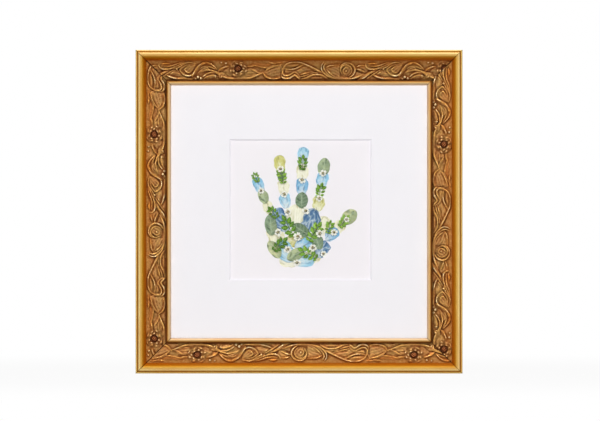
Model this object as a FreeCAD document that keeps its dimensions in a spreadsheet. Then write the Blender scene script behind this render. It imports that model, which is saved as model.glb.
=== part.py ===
import FreeCAD, Part
import math
import os
import Sketcher

# A square picture frame of mitred moulding with a pressed ornament, standing on its flat lower edge.
# X runs to the right, Z up and Y to the back; the front faces -Y.
# The origin is the centre of the flat underside of the lower rail. All sizes are millimetres.

doc = FreeCAD.newDocument("HandprintFrame")
sheet = doc.addObject("Spreadsheet::Sheet", "Sizes")

sizes = {
    # contents and rebate
    "picture_width": 203.2,
    "picture_height": 203.2,
    "picture_slack_across": 3.2,
    "picture_slack_up": 0.7,
    "rebate_width": 6.35,
    # thickness of each sheet in the rebate, front to back
    "glass_thickness": 2.0,
    "mat_thickness": 1.4,
    "art_board_thickness": 1.4,
    "filler_thickness": 3.0,
    "back_panel_thickness": 2.7,
    # moulding section: widths run inwards from the outer side, heights forwards from the back
    "rail_face": 26.8,
    "side_depth": 18.4,
    "lip_top_in": 1.0,
    "lip_top_height": 19.4,
    "quirk_in": 1.9,
    "quirk_height": 18.9,
    "bead_start_in": 2.04,
    "bead_start_height": 19.6,
    "bead_top_in": 4.0,
    "bead_top_height": 22.0,
    "bead_end_in": 8.0,
    "bead_end_height": 17.5,
    "bed_outer_height": 14.4,
    "bed_inner_in": 23.1,
    "bed_inner_height": 12.0,
    "sight_bead_start_height": 12.6,
    "sight_bead_top_in": 24.9,
    "sight_bead_top_height": 14.2,
    "sight_bead_end_height": 12.6,
    # pressed ornament strip laid in the bed
    "strip_outer_height": 15.9,
    "strip_inner_height": 12.5,
    "strip_hollow_radius": 60.0,
    # window in the mat, measured at the back of its bevel
    "window_width": 105.2,
    "window_height": 104.4,
    "window_right": 1.0,
    "window_up": 1.5,
    # mitre joint nails
    "nail_leg": 5.6,
    "nail_gauge": 0.5,
    "nail_depth": 9.0,
    "nail_outer_in": 6.0,
    "nail_inner_in": 14.2,
    # turn buttons
    "button_length": 28.0,
    "button_width": 9.0,
    "button_thickness": 1.0,
    "button_pivot_in": 12.4,
    "button_tail": 6.6,
    "button_gap": 0.2,
    # screws
    "screw_radius": 1.6,
    "screw_head_radius": 3.0,
    "screw_head_height": 1.5,
    "screw_length": 9.5,
    "screw_hole_clearance": 0.06,
    "recess_width": 0.8,
    "recess_length": 3.6,
    "recess_depth": 0.9,
    # ring hangers
    "hanger_height": 176.0,
    "hanger_in": 10.2,
    "strap_width": 9.0,
    "strap_thickness": 0.8,
    "strap_screw_drop": 6.6,
    "strap_end_drop": 6.9,
    "ring_wire_radius": 0.8,
    "ring_play": 0.09,
    "ring_half_width": 7.0,
    "ring_corner_radius": 1.8,
    "ring_reach": 12.8,
    # wall bumpers
    "bumper_radius": 5.0,
    "bumper_thickness": 2.2,
    "bumper_in": 11.0,
    # pressed handprint
    "hand_side_margin": 11.6,
    "hand_end_margin": 6.2,
    "pressed_thickness": 0.22,
    # running over of every cut
    "overrun": 2.0,
}

for row, (name, number) in enumerate(sizes.items(), start=1):
    sheet.set(f"A{row}", name)
    sheet.set(f"B{row}", str(number))
    sheet.setAlias(f"B{row}", name)
doc.recompute()


class Size:
    # a number together with the spreadsheet expression that gives it

    def __init__(self, number, text):
        self.number = number
        self.text = text

    def join(self, other, sign, number):
        text = other.text if isinstance(other, Size) else repr(other)
        return Size(number, f"({self.text} {sign} {text})")

    def __add__(self, other):
        return self.join(other, "+", self.number + plain(other))

    def __sub__(self, other):
        return self.join(other, "-", self.number - plain(other))

    def __mul__(self, other):
        return self.join(other, "*", self.number * plain(other))

    def __truediv__(self, other):
        return self.join(other, "/", self.number / plain(other))

    def __neg__(self):
        return Size(-self.number, f"(-1 * {self.text})")

    def __rmul__(self, other):
        return self * other


def plain(thing):
    return thing.number if isinstance(thing, Size) else thing


def size(name):
    return Size(float(sheet.get(name)), f"Sizes.{name}")


def bind(thing, **properties):
    for name, value in properties.items():
        thing.setExpression(name, value.text)
    return thing


none = Size(0.0, "0")


def place(thing, x=none, y=none, z=none, turn=None):
    thing.Placement = FreeCAD.Placement(FreeCAD.Vector(plain(x), plain(y), plain(z)), turn or FreeCAD.Rotation())
    for axis, value in zip("xyz", (x, y, z)):
        thing.setExpression(f"Placement.Base.{axis}", value.text)
    return thing


def primitive(kind, name, x=none, y=none, z=none, turn=None, **properties):
    return place(bind(doc.addObject(f"Part::{kind}", name), **properties), x, y, z, turn)


def fuse(name, shapes):
    joined = doc.addObject("Part::MultiFuse", name)
    joined.Shapes = shapes
    return joined


def cut(name, base, tool):
    result = doc.addObject("Part::Cut", name)
    result.Base = base
    result.Tool = tool
    return result


def group(name, links):
    together = doc.addObject("Part::Compound", name)
    together.Links = links
    return together


def newBody(name):
    return doc.addObject("PartDesign::Body", name)


def newSketch(body, plane, name):
    sketch = body.newObject("Sketcher::SketchObject", name)
    sketch.AttachmentSupport = ([f for f in body.Origin.OriginFeatures if f.Role == plane][0], [""])
    sketch.MapMode = "FlatFace"
    return sketch


def bindConstraint(sketch, value, kind, *places):
    index = sketch.addConstraint(Sketcher.Constraint(kind, *places, value.number))
    sketch.setExpression(f"Constraints[{index}]", value.text)


def pinCoordinate(sketch, kind, piece, end, value):
    # held from the sketch's origin, turned round where it is negative
    if value.number < 0:
        bindConstraint(sketch, -value, kind, piece, end, -1, 1)
    else:
        bindConstraint(sketch, value, kind, -1, 1, piece, end)


def pinPoint(sketch, piece, end, x, y):
    pinCoordinate(sketch, "DistanceX", piece, end, x)
    pinCoordinate(sketch, "DistanceY", piece, end, y)


def outline(sketch, corners, arcs=None):
    # arcs: number of the edge after a corner, with its radius and whether its centre lies left of travel
    arcs = arcs or {}
    count = len(corners)
    ends = []
    for number, corner in enumerate(corners):
        start = FreeCAD.Vector(corner[0].number, corner[1].number, 0)
        after = corners[(number + 1) % count]
        stop = FreeCAD.Vector(after[0].number, after[1].number, 0)
        if number not in arcs:
            piece = sketch.addGeometry(Part.LineSegment(start, stop))
            ends.append((piece, 1, 2))
            continue
        radius, toLeft = arcs[number]
        span = stop - start
        across = FreeCAD.Vector(-span.y, span.x, 0).normalize()
        reach = math.sqrt(max(radius.number ** 2 - (span.Length / 2) ** 2, 0))
        centre = start + span / 2 + across * (-reach if toLeft else reach)
        first, last = (stop, start) if toLeft else (start, stop)
        angles = [math.atan2(p.y - centre.y, p.x - centre.x) for p in (first, last)]
        circle = Part.Circle(centre, FreeCAD.Vector(0, 0, 1), radius.number)
        piece = sketch.addGeometry(Part.ArcOfCircle(circle, angles[0], angles[1]))
        ends.append((piece, 2, 1) if toLeft else (piece, 1, 2))
        if reach > 0:
            bindConstraint(sketch, radius, "Radius", piece)
        else:
            # a half circle on a level chord: its centre keeps the chord's height
            pinCoordinate(sketch, "DistanceY", piece, 3, corner[1])
    for number, (piece, start, stop) in enumerate(ends):
        nextPiece, nextStart, _ = ends[(number + 1) % count]
        sketch.addConstraint(Sketcher.Constraint("Coincident", piece, stop, nextPiece, nextStart))
        pinPoint(sketch, piece, start, *corners[number])
    return sketch


def circleIn(sketch, x, y, radius):
    centre = FreeCAD.Vector(x.number, y.number, 0)
    piece = sketch.addGeometry(Part.Circle(centre, FreeCAD.Vector(0, 0, 1), radius.number))
    pinPoint(sketch, piece, 3, x, y)
    bindConstraint(sketch, radius, "Radius", piece)
    return sketch


def extrude(body, kind, name, sketch, length):
    feature = body.newObject(f"PartDesign::{kind}", name)
    feature.Profile = sketch
    feature.SideType = "Symmetric"
    return bind(feature, Length=length)


def turned(name, corners, arcs=None):
    body = newBody(name)
    sketch = outline(newSketch(body, "XY_Plane", f"{name}_outline"), corners, arcs)
    feature = body.newObject("PartDesign::Revolution", f"{name}_turned")
    feature.Profile = sketch
    feature.ReferenceAxis = (sketch, ["V_Axis"])
    feature.Angle = 360
    return body


# sizes that follow from the named ones
openingWidth = size("picture_width") + size("picture_slack_across")
openingHeight = size("picture_height") + size("picture_slack_up")
railFace = size("rail_face")
sightWidth = openingWidth - size("rebate_width") * 2
sightHeight = openingHeight - size("rebate_width") * 2
outerWidth = sightWidth + railFace * 2
outerHeight = sightHeight + railFace * 2
middleUp = outerHeight / 2
stackDepth = size("glass_thickness") + size("mat_thickness") + size("art_board_thickness")
stackDepth = stackDepth + size("filler_thickness") + size("back_panel_thickness")
backFace = size("side_depth") / 2
rebateEdge = railFace - size("rebate_width")
overrun = size("overrun")

# the four sides, each a quarter turn from the last about the middle of the frame
sides = ["bottom", "left", "top", "right"]
yAxis = FreeCAD.Vector(0, 1, 0)
zAxis = FreeCAD.Vector(0, 0, 1)
sideTurn = {side: FreeCAD.Rotation(yAxis, 90 * number) for number, side in enumerate(sides)}
sideLength = {"bottom": outerWidth, "left": outerHeight, "top": outerWidth, "right": outerHeight}


def sidePoint(side, along, inward):
    # from the middle of a side's outer edge, along it (rightwards on the lower side) and inwards
    return {
        "bottom": (along, inward),
        "left": (inward - outerWidth / 2, middleUp - along),
        "top": (-along, outerHeight - inward),
        "right": (outerWidth / 2 - inward, middleUp + along),
    }[side]


faceAbout = FreeCAD.Rotation(zAxis, 180)


def placeOnSide(thing, side):
    x, z = sidePoint(side, none, none)
    return place(thing, x, backFace, z, sideTurn[side].multiply(faceAbout))


# Moulding rails

def domeRadius(across, drop):
    # radius of an arc that starts level and has fallen by drop at across
    return (across * across + drop * drop) / (drop * 2)


lipTop = (size("lip_top_in"), size("lip_top_height"))
quirk = (size("quirk_in"), size("quirk_height"))
beadStart = (size("bead_start_in"), size("bead_start_height"))
beadTop = (size("bead_top_in"), size("bead_top_height"))
beadEnd = (size("bead_end_in"), size("bead_end_height"))
bedOuter = (size("bead_end_in"), size("bed_outer_height"))
bedInner = (size("bed_inner_in"), size("bed_inner_height"))
sightStart = (size("bed_inner_in"), size("sight_bead_start_height"))
sightTop = (size("sight_bead_top_in"), size("sight_bead_top_height"))
sightEnd = (railFace, size("sight_bead_end_height"))


def domeBetween(low, top):
    across = top[0] - low[0]
    return domeRadius(across, top[1] - low[1])


def inSection(points):
    # section points are (inwards, forwards); the sketch plane has forwards first
    return [(point[1], point[0]) for point in points]


def mitredBar(name, side, points, arcs, depth):
    body = newBody(name)
    length = sideLength[side]
    section = outline(newSketch(body, "YZ_Plane", f"{name}_section"), inSection(points), arcs)
    extrude(body, "Pad", f"{name}_length", section, length)
    ends = newSketch(body, "XZ_Plane", f"{name}_mitres")
    half = length / 2
    for way in (1, -1):
        outside = (half + overrun) * way
        inside = (half - railFace - overrun) * way
        outline(ends, [(outside, -overrun), (outside, railFace + overrun), (inside, railFace + overrun)])
    extrude(body, "Pocket", f"{name}_mitre_cuts", ends, depth * 4)
    return placeOnSide(body, side)


railPoints = [
    (none, none),
    (none, size("side_depth")),
    lipTop,
    quirk,
    beadStart,
    beadTop,
    beadEnd,
    bedOuter,
    bedInner,
    sightStart,
    sightTop,
    sightEnd,
    (railFace, stackDepth),
    (rebateEdge, stackDepth),
    (rebateEdge, none),
]
railArcs = {
    1: (domeBetween((none, size("side_depth")), lipTop), False),
    2: (domeRadius(quirk[0] - lipTop[0], lipTop[1] - quirk[1]), False),
    4: (domeBetween(beadStart, beadTop), False),
    5: (domeRadius(beadEnd[0] - beadTop[0], beadTop[1] - beadEnd[1]), False),
    9: (domeBetween(sightStart, sightTop), False),
    10: (domeRadius(sightEnd[0] - sightTop[0], sightTop[1] - sightEnd[1]), False),
}
wood = {side: mitredBar(f"{side}_moulding", side, railPoints, railArcs, beadTop[1]) for side in sides}

# Pressed ornament strips

stripPoints = [
    bedOuter,
    (bedOuter[0], size("strip_outer_height")),
    (bedInner[0], size("strip_inner_height")),
    bedInner,
]
stripArcs = {1: (size("strip_hollow_radius"), True)}
for side in sides:
    strip = mitredBar(f"{side}_strip", side, stripPoints, stripArcs, beadTop[1])
    strip.Label = f"ornament_{side}"

# Sheets in the rebate, from the glass to the back panel


def sheetBetween(name, width, height, front, thickness):
    # front is the depth of its front face, counted forwards from the back of the rails
    return primitive("Box", name, -(width / 2), backFace - front, middleUp - height / 2,
                     Length=width, Width=thickness, Height=height)


pictureWidth = size("picture_width")
pictureHeight = size("picture_height")
glassBack = stackDepth - size("glass_thickness")
matBack = glassBack - size("mat_thickness")
artBack = matBack - size("art_board_thickness")
sheetBetween("glass_pane", pictureWidth, pictureHeight, stackDepth, size("glass_thickness"))
matBlank = sheetBetween("mat_blank", pictureWidth, pictureHeight, glassBack, size("mat_thickness"))
sheetBetween("art_board", pictureWidth, pictureHeight, matBack, size("art_board_thickness"))
sheetBetween("filler_board", pictureWidth, pictureHeight, artBack, size("filler_thickness"))
sheetBetween("back_panel", pictureWidth, pictureHeight, size("back_panel_thickness"), size("back_panel_thickness"))

# The window's sides slope at 45 degrees, wider at the front
halfWindow = size("window_width") / 2
halfWindowUp = size("window_height") / 2
matThickness = size("mat_thickness")
windowCut = primitive(
    "Wedge", "window_cut", size("window_right"), backFace - glassBack, middleUp + size("window_up"),
    Xmin=-(halfWindow + matThickness + overrun), Xmax=halfWindow + matThickness + overrun,
    Zmin=-(halfWindowUp + matThickness + overrun), Zmax=halfWindowUp + matThickness + overrun,
    X2min=-(halfWindow - overrun), X2max=halfWindow - overrun,
    Z2min=-(halfWindowUp - overrun), Z2max=halfWindowUp - overrun,
    Ymin=-overrun, Ymax=matThickness + overrun)
cut("window_mat", matBlank, windowCut)

# Mitre joint nails: two bent plates to a corner, one leg in each rail


def mitreNail(name, side, inward):
    body = newBody(name)
    leg = size("nail_leg")
    gauge = size("nail_gauge")
    sketch = newSketch(body, "XZ_Plane", f"{name}_plan")
    outline(sketch, [(none, none), (leg, none), (leg, gauge), (gauge, gauge), (gauge, leg), (none, leg)])
    extrude(body, "Pad", f"{name}_depth", sketch, size("nail_depth"))
    x, z = sidePoint(side, inward - sideLength[side] / 2, inward)
    return place(body, x, backFace - size("nail_depth") / 2, z, sideTurn[side])


nails = [mitreNail(f"{side}_{which}_nail", side, size(f"nail_{which}_in"))
         for side in sides for which in ("outer", "inner")]
nailGroup = group("corner_v_nails", nails)

# Screws, turned about their own axis, with a cross recess


def screw(name, x, y, z):
    radius = size("screw_radius")
    head = size("screw_head_radius")
    height = size("screw_head_height")
    length = size("screw_length")
    body = turned(f"{name}_blank", [
        (none, height), (none, -length), (radius, radius - length), (radius, none), (head, none),
        (head, height / 2), (head - height / 2, height)])
    place(body, x, y, z)
    wide = size("recess_width")
    long = size("recess_length")
    deep = size("recess_depth")
    floor = y + height - deep
    slots = [
        primitive("Box", f"{name}_slot_across", x - long / 2, floor, z - wide / 2,
                  Length=long, Width=deep + overrun, Height=wide),
        primitive("Box", f"{name}_slot_up", x - wide / 2, floor, z - long / 2,
                  Length=wide, Width=deep + overrun, Height=long)]
    return cut(name, body, fuse(f"{name}_recess", slots))


# Turn buttons over the edge of the back panel

holeRadius = size("screw_radius") + size("screw_hole_clearance")
buttonUnder = backFace + size("button_gap")
buttonTop = buttonUnder + size("button_thickness")
buttonScrews = []
for side in sides:
    button = newBody(f"{side}_button")
    plan = newSketch(button, "XZ_Plane", f"{side}_button_plan")
    half = size("button_width") / 2
    tail = size("button_tail") - half
    reach = size("button_length") - size("button_tail") - half
    outline(plan, [(half, reach), (-half, reach), (-half, -tail), (half, -tail)],
            {0: (half, False), 2: (half, False)})
    circleIn(plan, none, none, holeRadius)
    extrude(button, "Pad", f"{side}_button_plate", plan, size("button_thickness"))
    x, z = sidePoint(side, none, size("button_pivot_in"))
    place(button, x, buttonUnder + size("button_thickness") / 2, z, sideTurn[side])
    button.Label = f"turn_button_{side}"
    buttonScrews.append(screw(f"{side}_button_screw", x, buttonTop + size("button_gap"), z))
buttonScrewGroup = group("turn_button_screws", buttonScrews)

# Ring hangers on the two upright rails: strap with a rolled loop, ring and screw

wire = size("ring_wire_radius")
strapThickness = size("strap_thickness")
loopBore = wire + size("ring_play")
loopOuter = loopBore + strapThickness
acrossTurn = FreeCAD.Rotation(yAxis, 90)


def hangerStrap(side, x, z):
    width = size("strap_width")
    screwZ = z - size("strap_screw_drop")
    name = f"{side}_strap"
    upright = FreeCAD.Rotation(FreeCAD.Vector(1, 0, 0), -90)
    plate = primitive("Box", f"{name}_plate", x - width / 2, backFace, screwZ,
                      Length=width, Width=strapThickness, Height=size("strap_screw_drop"))
    end = primitive("Cylinder", f"{name}_end", x, backFace, screwZ, upright,
                    Radius=width / 2, Height=strapThickness)
    roll = primitive("Cylinder", f"{name}_roll", x - width / 2, backFace + loopOuter, z, acrossTurn,
                     Radius=loopOuter, Height=width)
    bore = primitive("Cylinder", f"{name}_bore", x - width / 2 - overrun, backFace + loopOuter, z, acrossTurn,
                     Radius=loopBore, Height=width + overrun * 2)
    hole = primitive("Cylinder", f"{name}_hole", x, backFace - overrun, screwZ, upright,
                     Radius=holeRadius, Height=strapThickness + overrun * 2)
    return cut(f"hanger_strap_{side}", fuse(f"{name}_blank", [plate, end, roll]),
               fuse(f"{name}_openings", [bore, hole]))


def ringOf(side, x, z):
    # straight bar through the loop, two bent corners, two legs and a half-round bow
    half = size("ring_half_width")
    bend = size("ring_corner_radius")
    legEnd = size("ring_reach") - half
    y = backFace + loopOuter
    name = f"{side}_ring"
    flat = FreeCAD.Vector(1, 0, 0)
    pieces = [primitive("Cylinder", f"{name}_bar", x - half + bend, y, z, acrossTurn,
                        Radius=wire, Height=(half - bend) * 2)]
    for way, start in ((1, 0), (-1, 90)):
        pieces.append(primitive("Cylinder", f"{name}_leg_{start}", x + half * way, y, z - legEnd,
                                Radius=wire, Height=legEnd - bend))
        corner = primitive("Torus", f"{name}_corner_{start}", x + (half - bend) * way, y, z - bend,
                           FreeCAD.Rotation(flat, 90).multiply(FreeCAD.Rotation(zAxis, start)),
                           Radius1=bend, Radius2=wire)
        corner.Angle3 = 90
        pieces.append(corner)
    bow = primitive("Torus", f"{name}_bow", x, y, z - legEnd,
                    FreeCAD.Rotation(flat, 90).multiply(FreeCAD.Rotation(zAxis, 180)),
                    Radius1=half, Radius2=wire)
    bow.Angle3 = 180
    pieces.append(bow)
    return fuse(f"d_ring_{side}", pieces)


hangerScrews = []
for side, way in (("left", -1), ("right", 1)):
    x = (outerWidth / 2 - size("hanger_in")) * way
    z = size("hanger_height")
    hangerStrap(side, x, z)
    ringOf(side, x, z)
    screwZ = z - size("strap_screw_drop")
    hangerScrews.append(screw(f"{side}_hanger_screw", x, backFace + strapThickness, screwZ))
hangerScrewGroup = group("hanger_screws", hangerScrews)

# The rails are slotted for the nails and bored for the screws
fastened = group("fasteners", nails + buttonScrews + hangerScrews)
for side in sides:
    cut(f"rail_{side}", wood[side], fastened)

# Wall bumpers at the lower corners of the back

bumperIn = size("bumper_in")
bumpers = [
    primitive("Cylinder", f"bumper_{number}", (outerWidth / 2 - bumperIn) * way, backFace, bumperIn,
              FreeCAD.Rotation(FreeCAD.Vector(1, 0, 0), -90),
              Radius=size("bumper_radius"), Height=size("bumper_thickness"))
    for number, way in enumerate((-1, 1))]
group("wall_bumpers", bumpers)
doc.recompute()

# Pressed pieces: thin flat petals and leaves laid as a small open hand.
# Each kind lies in its own layer on the art board; the tables give places as shares of the hand.

handWidth = (size("window_width") - size("hand_side_margin") * 2).number
handHeight = (size("window_height") - size("hand_end_margin") * 2).number
handX = size("window_right").number
handZ = middleUp.number + size("window_up").number
layerThickness = size("pressed_thickness").number
boardFace = backFace.number - matBack.number


def petalWire(long, wide):
    upper = FreeCAD.Vector(0, 0, long)
    right = FreeCAD.Vector(wide, 0, 0)
    return Part.Wire([Part.Arc(-upper, right, upper).toShape(), Part.Arc(upper, -right, -upper).toShape()])


def blossomWire(long, wide):
    # five rounded lobes that meet at a share of the blossom's radius
    lobes = 5
    valleyShare = 0.62
    step = 2 * math.pi / lobes

    def pointAt(turns, share):
        angle = turns * step
        return FreeCAD.Vector(wide * share * math.sin(angle), 0, long * share * math.cos(angle))

    arcs = [Part.Arc(pointAt(n - 0.5, valleyShare), pointAt(n, 1), pointAt(n + 0.5, valleyShare))
            for n in range(lobes)]
    return Part.Wire([arc.toShape() for arc in arcs])


def pressedPlate(shares, layer, wireOf):
    # shares: across, up, half length and half width of a piece, and its lean in degrees from upright
    across, up, halfLong, halfWide, lean = shares
    plate = Part.Face(wireOf(halfLong * handHeight, halfWide * handHeight))
    plate = plate.extrude(FreeCAD.Vector(0, -layerThickness, 0))
    base = FreeCAD.Vector(handX + across * handWidth, boardFace - layer * layerThickness, handZ + up * handHeight)
    plate.Placement = FreeCAD.Placement(base, FreeCAD.Rotation(yAxis, lean))
    return plate


def pressedGroup(name, layer, shareTable, wireOf=petalWire):
    feature = doc.addObject("Part::Feature", name)
    feature.Shape = Part.makeCompound([pressedPlate(shares, layer, wireOf) for shares in shareTable])
    return feature


creamPetalShares = [
    (-0.295, 0.013, 0.061, 0.047, -25),
    (-0.154, 0.180, 0.070, 0.054, -8),
    (-0.190, 0.376, 0.072, 0.055, -8),
    (0.018, 0.300, 0.072, 0.058, 1),
    (0.166, 0.046, 0.067, 0.059, 10),
    (0.349, -0.148, 0.067, 0.057, 45),
    (-0.037, -0.060, 0.104, 0.089, 4),
    (-0.226, -0.228, 0.111, 0.080, -10),
    (-0.030, -0.250, 0.091, 0.076, 86),
    (0.195, -0.141, 0.091, 0.072, 28),
    (0.134, -0.364, 0.102, 0.078, 48),
    (-0.110, -0.424, 0.080, 0.061, -72),
]
bluePetalShares = [
    (-0.383, 0.200, 0.074, 0.050, -25),
    (-0.141, 0.072, 0.067, 0.054, -8),
    (0.015, 0.189, 0.074, 0.058, 1),
    (0.024, 0.450, 0.067, 0.054, 1),
    (0.200, 0.243, 0.074, 0.057, 10),
    (0.288, -0.204, 0.067, 0.057, 45),
    (-0.183, -0.092, 0.104, 0.080, -30),
    (0.091, -0.098, 0.107, 0.085, 24),
    (-0.140, -0.348, 0.109, 0.083, -46),
    (0.027, -0.287, 0.080, 0.066, 76),
    (0.202, -0.328, 0.076, 0.061, 26),
    (0.037, -0.424, 0.083, 0.059, 80),
]
sageLeafShares = [
    (-0.341, 0.109, 0.063, 0.042, -25),
    (0.012, 0.078, 0.067, 0.052, 1),
    (0.217, 0.352, 0.076, 0.051, 10),
    (0.451, -0.059, 0.076, 0.057, 45),
    (-0.173, 0.283, 0.050, 0.037, -8),
    (-0.274, -0.125, 0.089, 0.050, -6),
    (0.006, -0.168, 0.083, 0.048, -58),
    (-0.238, -0.326, 0.083, 0.048, -34),
    (0.152, -0.250, 0.083, 0.050, -18),
    (-0.043, -0.370, 0.080, 0.048, 60),
]
greenLeafShares = [
    (-0.410, 0.263, 0.050, 0.028, -25),
    (-0.171, 0.276, 0.078, 0.039, -12),
    (0.022, 0.380, 0.072, 0.039, 4),
    (0.183, 0.146, 0.076, 0.039, 14),
    (0.400, -0.102, 0.070, 0.039, 40),
    (-0.104, -0.147, 0.113, 0.046, -28),
    (0.128, -0.190, 0.107, 0.043, 34),
    (-0.193, -0.291, 0.089, 0.041, 46),
    (0.079, -0.364, 0.098, 0.043, -62),
    (-0.250, -0.027, 0.070, 0.035, -40),
    (0.268, -0.147, 0.065, 0.033, 12),
]
blossomShares = [
    (-0.363, 0.157, 0.029, 0.029, 0),
    (-0.149, 0.128, 0.033, 0.033, 0),
    (-0.185, 0.337, 0.030, 0.030, 0),
    (0.017, 0.246, 0.034, 0.034, 0),
    (0.176, 0.093, 0.032, 0.032, 0),
    (0.210, 0.300, 0.032, 0.032, 0),
    (0.312, -0.185, 0.033, 0.033, 0),
    (0.427, -0.080, 0.028, 0.028, 0),
    (-0.116, -0.017, 0.037, 0.037, 0),
    (0.049, -0.009, 0.035, 0.035, 0),
    (-0.024, -0.222, 0.040, 0.040, 0),
    (0.180, -0.198, 0.037, 0.037, 0),
    (-0.205, -0.187, 0.037, 0.037, 0),
    (-0.116, -0.328, 0.038, 0.038, 0),
    (0.115, -0.313, 0.037, 0.037, 0),
    (-0.032, -0.437, 0.033, 0.033, 0),
    (0.215, -0.363, 0.030, 0.030, 0),
]
centreShares = [(across, up, long * 0.36, wide * 0.36, lean) for across, up, long, wide, lean in blossomShares]
pressedGroup("pressed_cream_petals", 0, creamPetalShares)
pressedGroup("pressed_blue_petals", 1, bluePetalShares)
pressedGroup("pressed_sage_leaves", 2, sageLeafShares)
pressedGroup("pressed_green_leaves", 3, greenLeafShares)
pressedGroup("pressed_blossoms", 4, blossomShares, blossomWire)
pressedGroup("blossom_centres", 5, centreShares)
doc.recompute()

nodes = (
    [f"rail_{side}" for side in sides]
    + [f"ornament_{side}" for side in sides]
    + ["corner_v_nails", "glass_pane", "window_mat", "art_board", "filler_board", "back_panel"]
    + ["pressed_cream_petals", "pressed_blue_petals", "pressed_sage_leaves", "pressed_green_leaves"]
    + ["pressed_blossoms", "blossom_centres"]
    + [f"turn_button_{side}" for side in sides]
    + ["turn_button_screws", "hanger_strap_left", "hanger_strap_right", "d_ring_left", "d_ring_right"]
    + ["hanger_screws", "wall_bumpers"]
)
parts = {thing.Label: thing for thing in doc.Objects if thing.Label in nodes}
broken = [thing.Label for thing in doc.Objects if "Invalid" in thing.State or "Error" in thing.State]
for name in nodes:
    shape = parts[name].Shape
    if shape.isNull() or not shape.isValid() or not shape.Solids:
        broken.append(name)
if broken:
    raise RuntimeError(f"not built: {broken}")

os.makedirs("parts", exist_ok=True)
for name in nodes:
    shape = parts[name].Shape
    shape.exportStep(f"parts/{name}.step")
    box = shape.BoundBox
    print(f"{name}: {len(shape.Solids)} solids, {shape.Volume:.1f} mm3, x {box.XMin:.2f} {box.XMax:.2f}, "
          f"y {box.YMin:.2f} {box.YMax:.2f}, z {box.ZMin:.2f} {box.ZMax:.2f}")
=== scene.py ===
import math
import random

import bpy
import numpy as np
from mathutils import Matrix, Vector


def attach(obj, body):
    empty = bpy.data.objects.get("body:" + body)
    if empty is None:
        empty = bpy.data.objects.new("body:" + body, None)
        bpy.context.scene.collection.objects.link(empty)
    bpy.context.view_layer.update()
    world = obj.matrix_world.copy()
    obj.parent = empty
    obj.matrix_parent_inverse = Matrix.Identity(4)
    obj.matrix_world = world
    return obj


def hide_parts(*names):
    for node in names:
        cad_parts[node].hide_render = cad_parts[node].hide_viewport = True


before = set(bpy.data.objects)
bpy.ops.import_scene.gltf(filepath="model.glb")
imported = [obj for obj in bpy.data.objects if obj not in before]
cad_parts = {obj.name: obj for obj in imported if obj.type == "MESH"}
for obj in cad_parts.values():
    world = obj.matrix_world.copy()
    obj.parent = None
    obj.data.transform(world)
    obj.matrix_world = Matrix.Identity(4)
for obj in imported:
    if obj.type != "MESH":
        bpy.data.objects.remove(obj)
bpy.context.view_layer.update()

# A gilt picture frame with a pressed vine ornament, a white window mat and a hand of pressed leaves.
# Lengths in the dictionaries are millimetres; mm turns them into metres.

mm = 0.001
frameSizes = {"width": 247.3, "height": 244.8, "face": 26.8, "backFace": 9.2}
sideNames = ("bottom", "left", "top", "right")
sideShift = 400  # moves each side's noise on, so that no two sides look alike


def linear(colour):
    # a colour as a paint program shows it, 0 to 255, for a shader; sockets pass through
    if not isinstance(colour, tuple):
        return colour
    return tuple(((c / 255 + 0.055) / 1.055) ** 2.4 if c > 10 else c / 3294 for c in colour) + (1.0,)


def inFront(x, z, height):
    # across, up, and forwards from the frame's back, to metres in the part's frame
    return x * mm, (frameSizes["backFace"] - height) * mm, z * mm


def onSide(side, along, inward, height):
    # from a side's middle along its outer edge, and inwards from that edge
    half = frameSizes["width"] / 2
    middle = frameSizes["height"] / 2
    x, z = {
        "bottom": (along, inward),
        "left": (inward - half, middle - along),
        "top": (-along, 2 * middle - inward),
        "right": (half - inward, middle + along),
    }[side]
    return inFront(x, z, height)


def sideLength(side):
    return frameSizes["width"] if side in ("bottom", "top") else frameSizes["height"]


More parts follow.
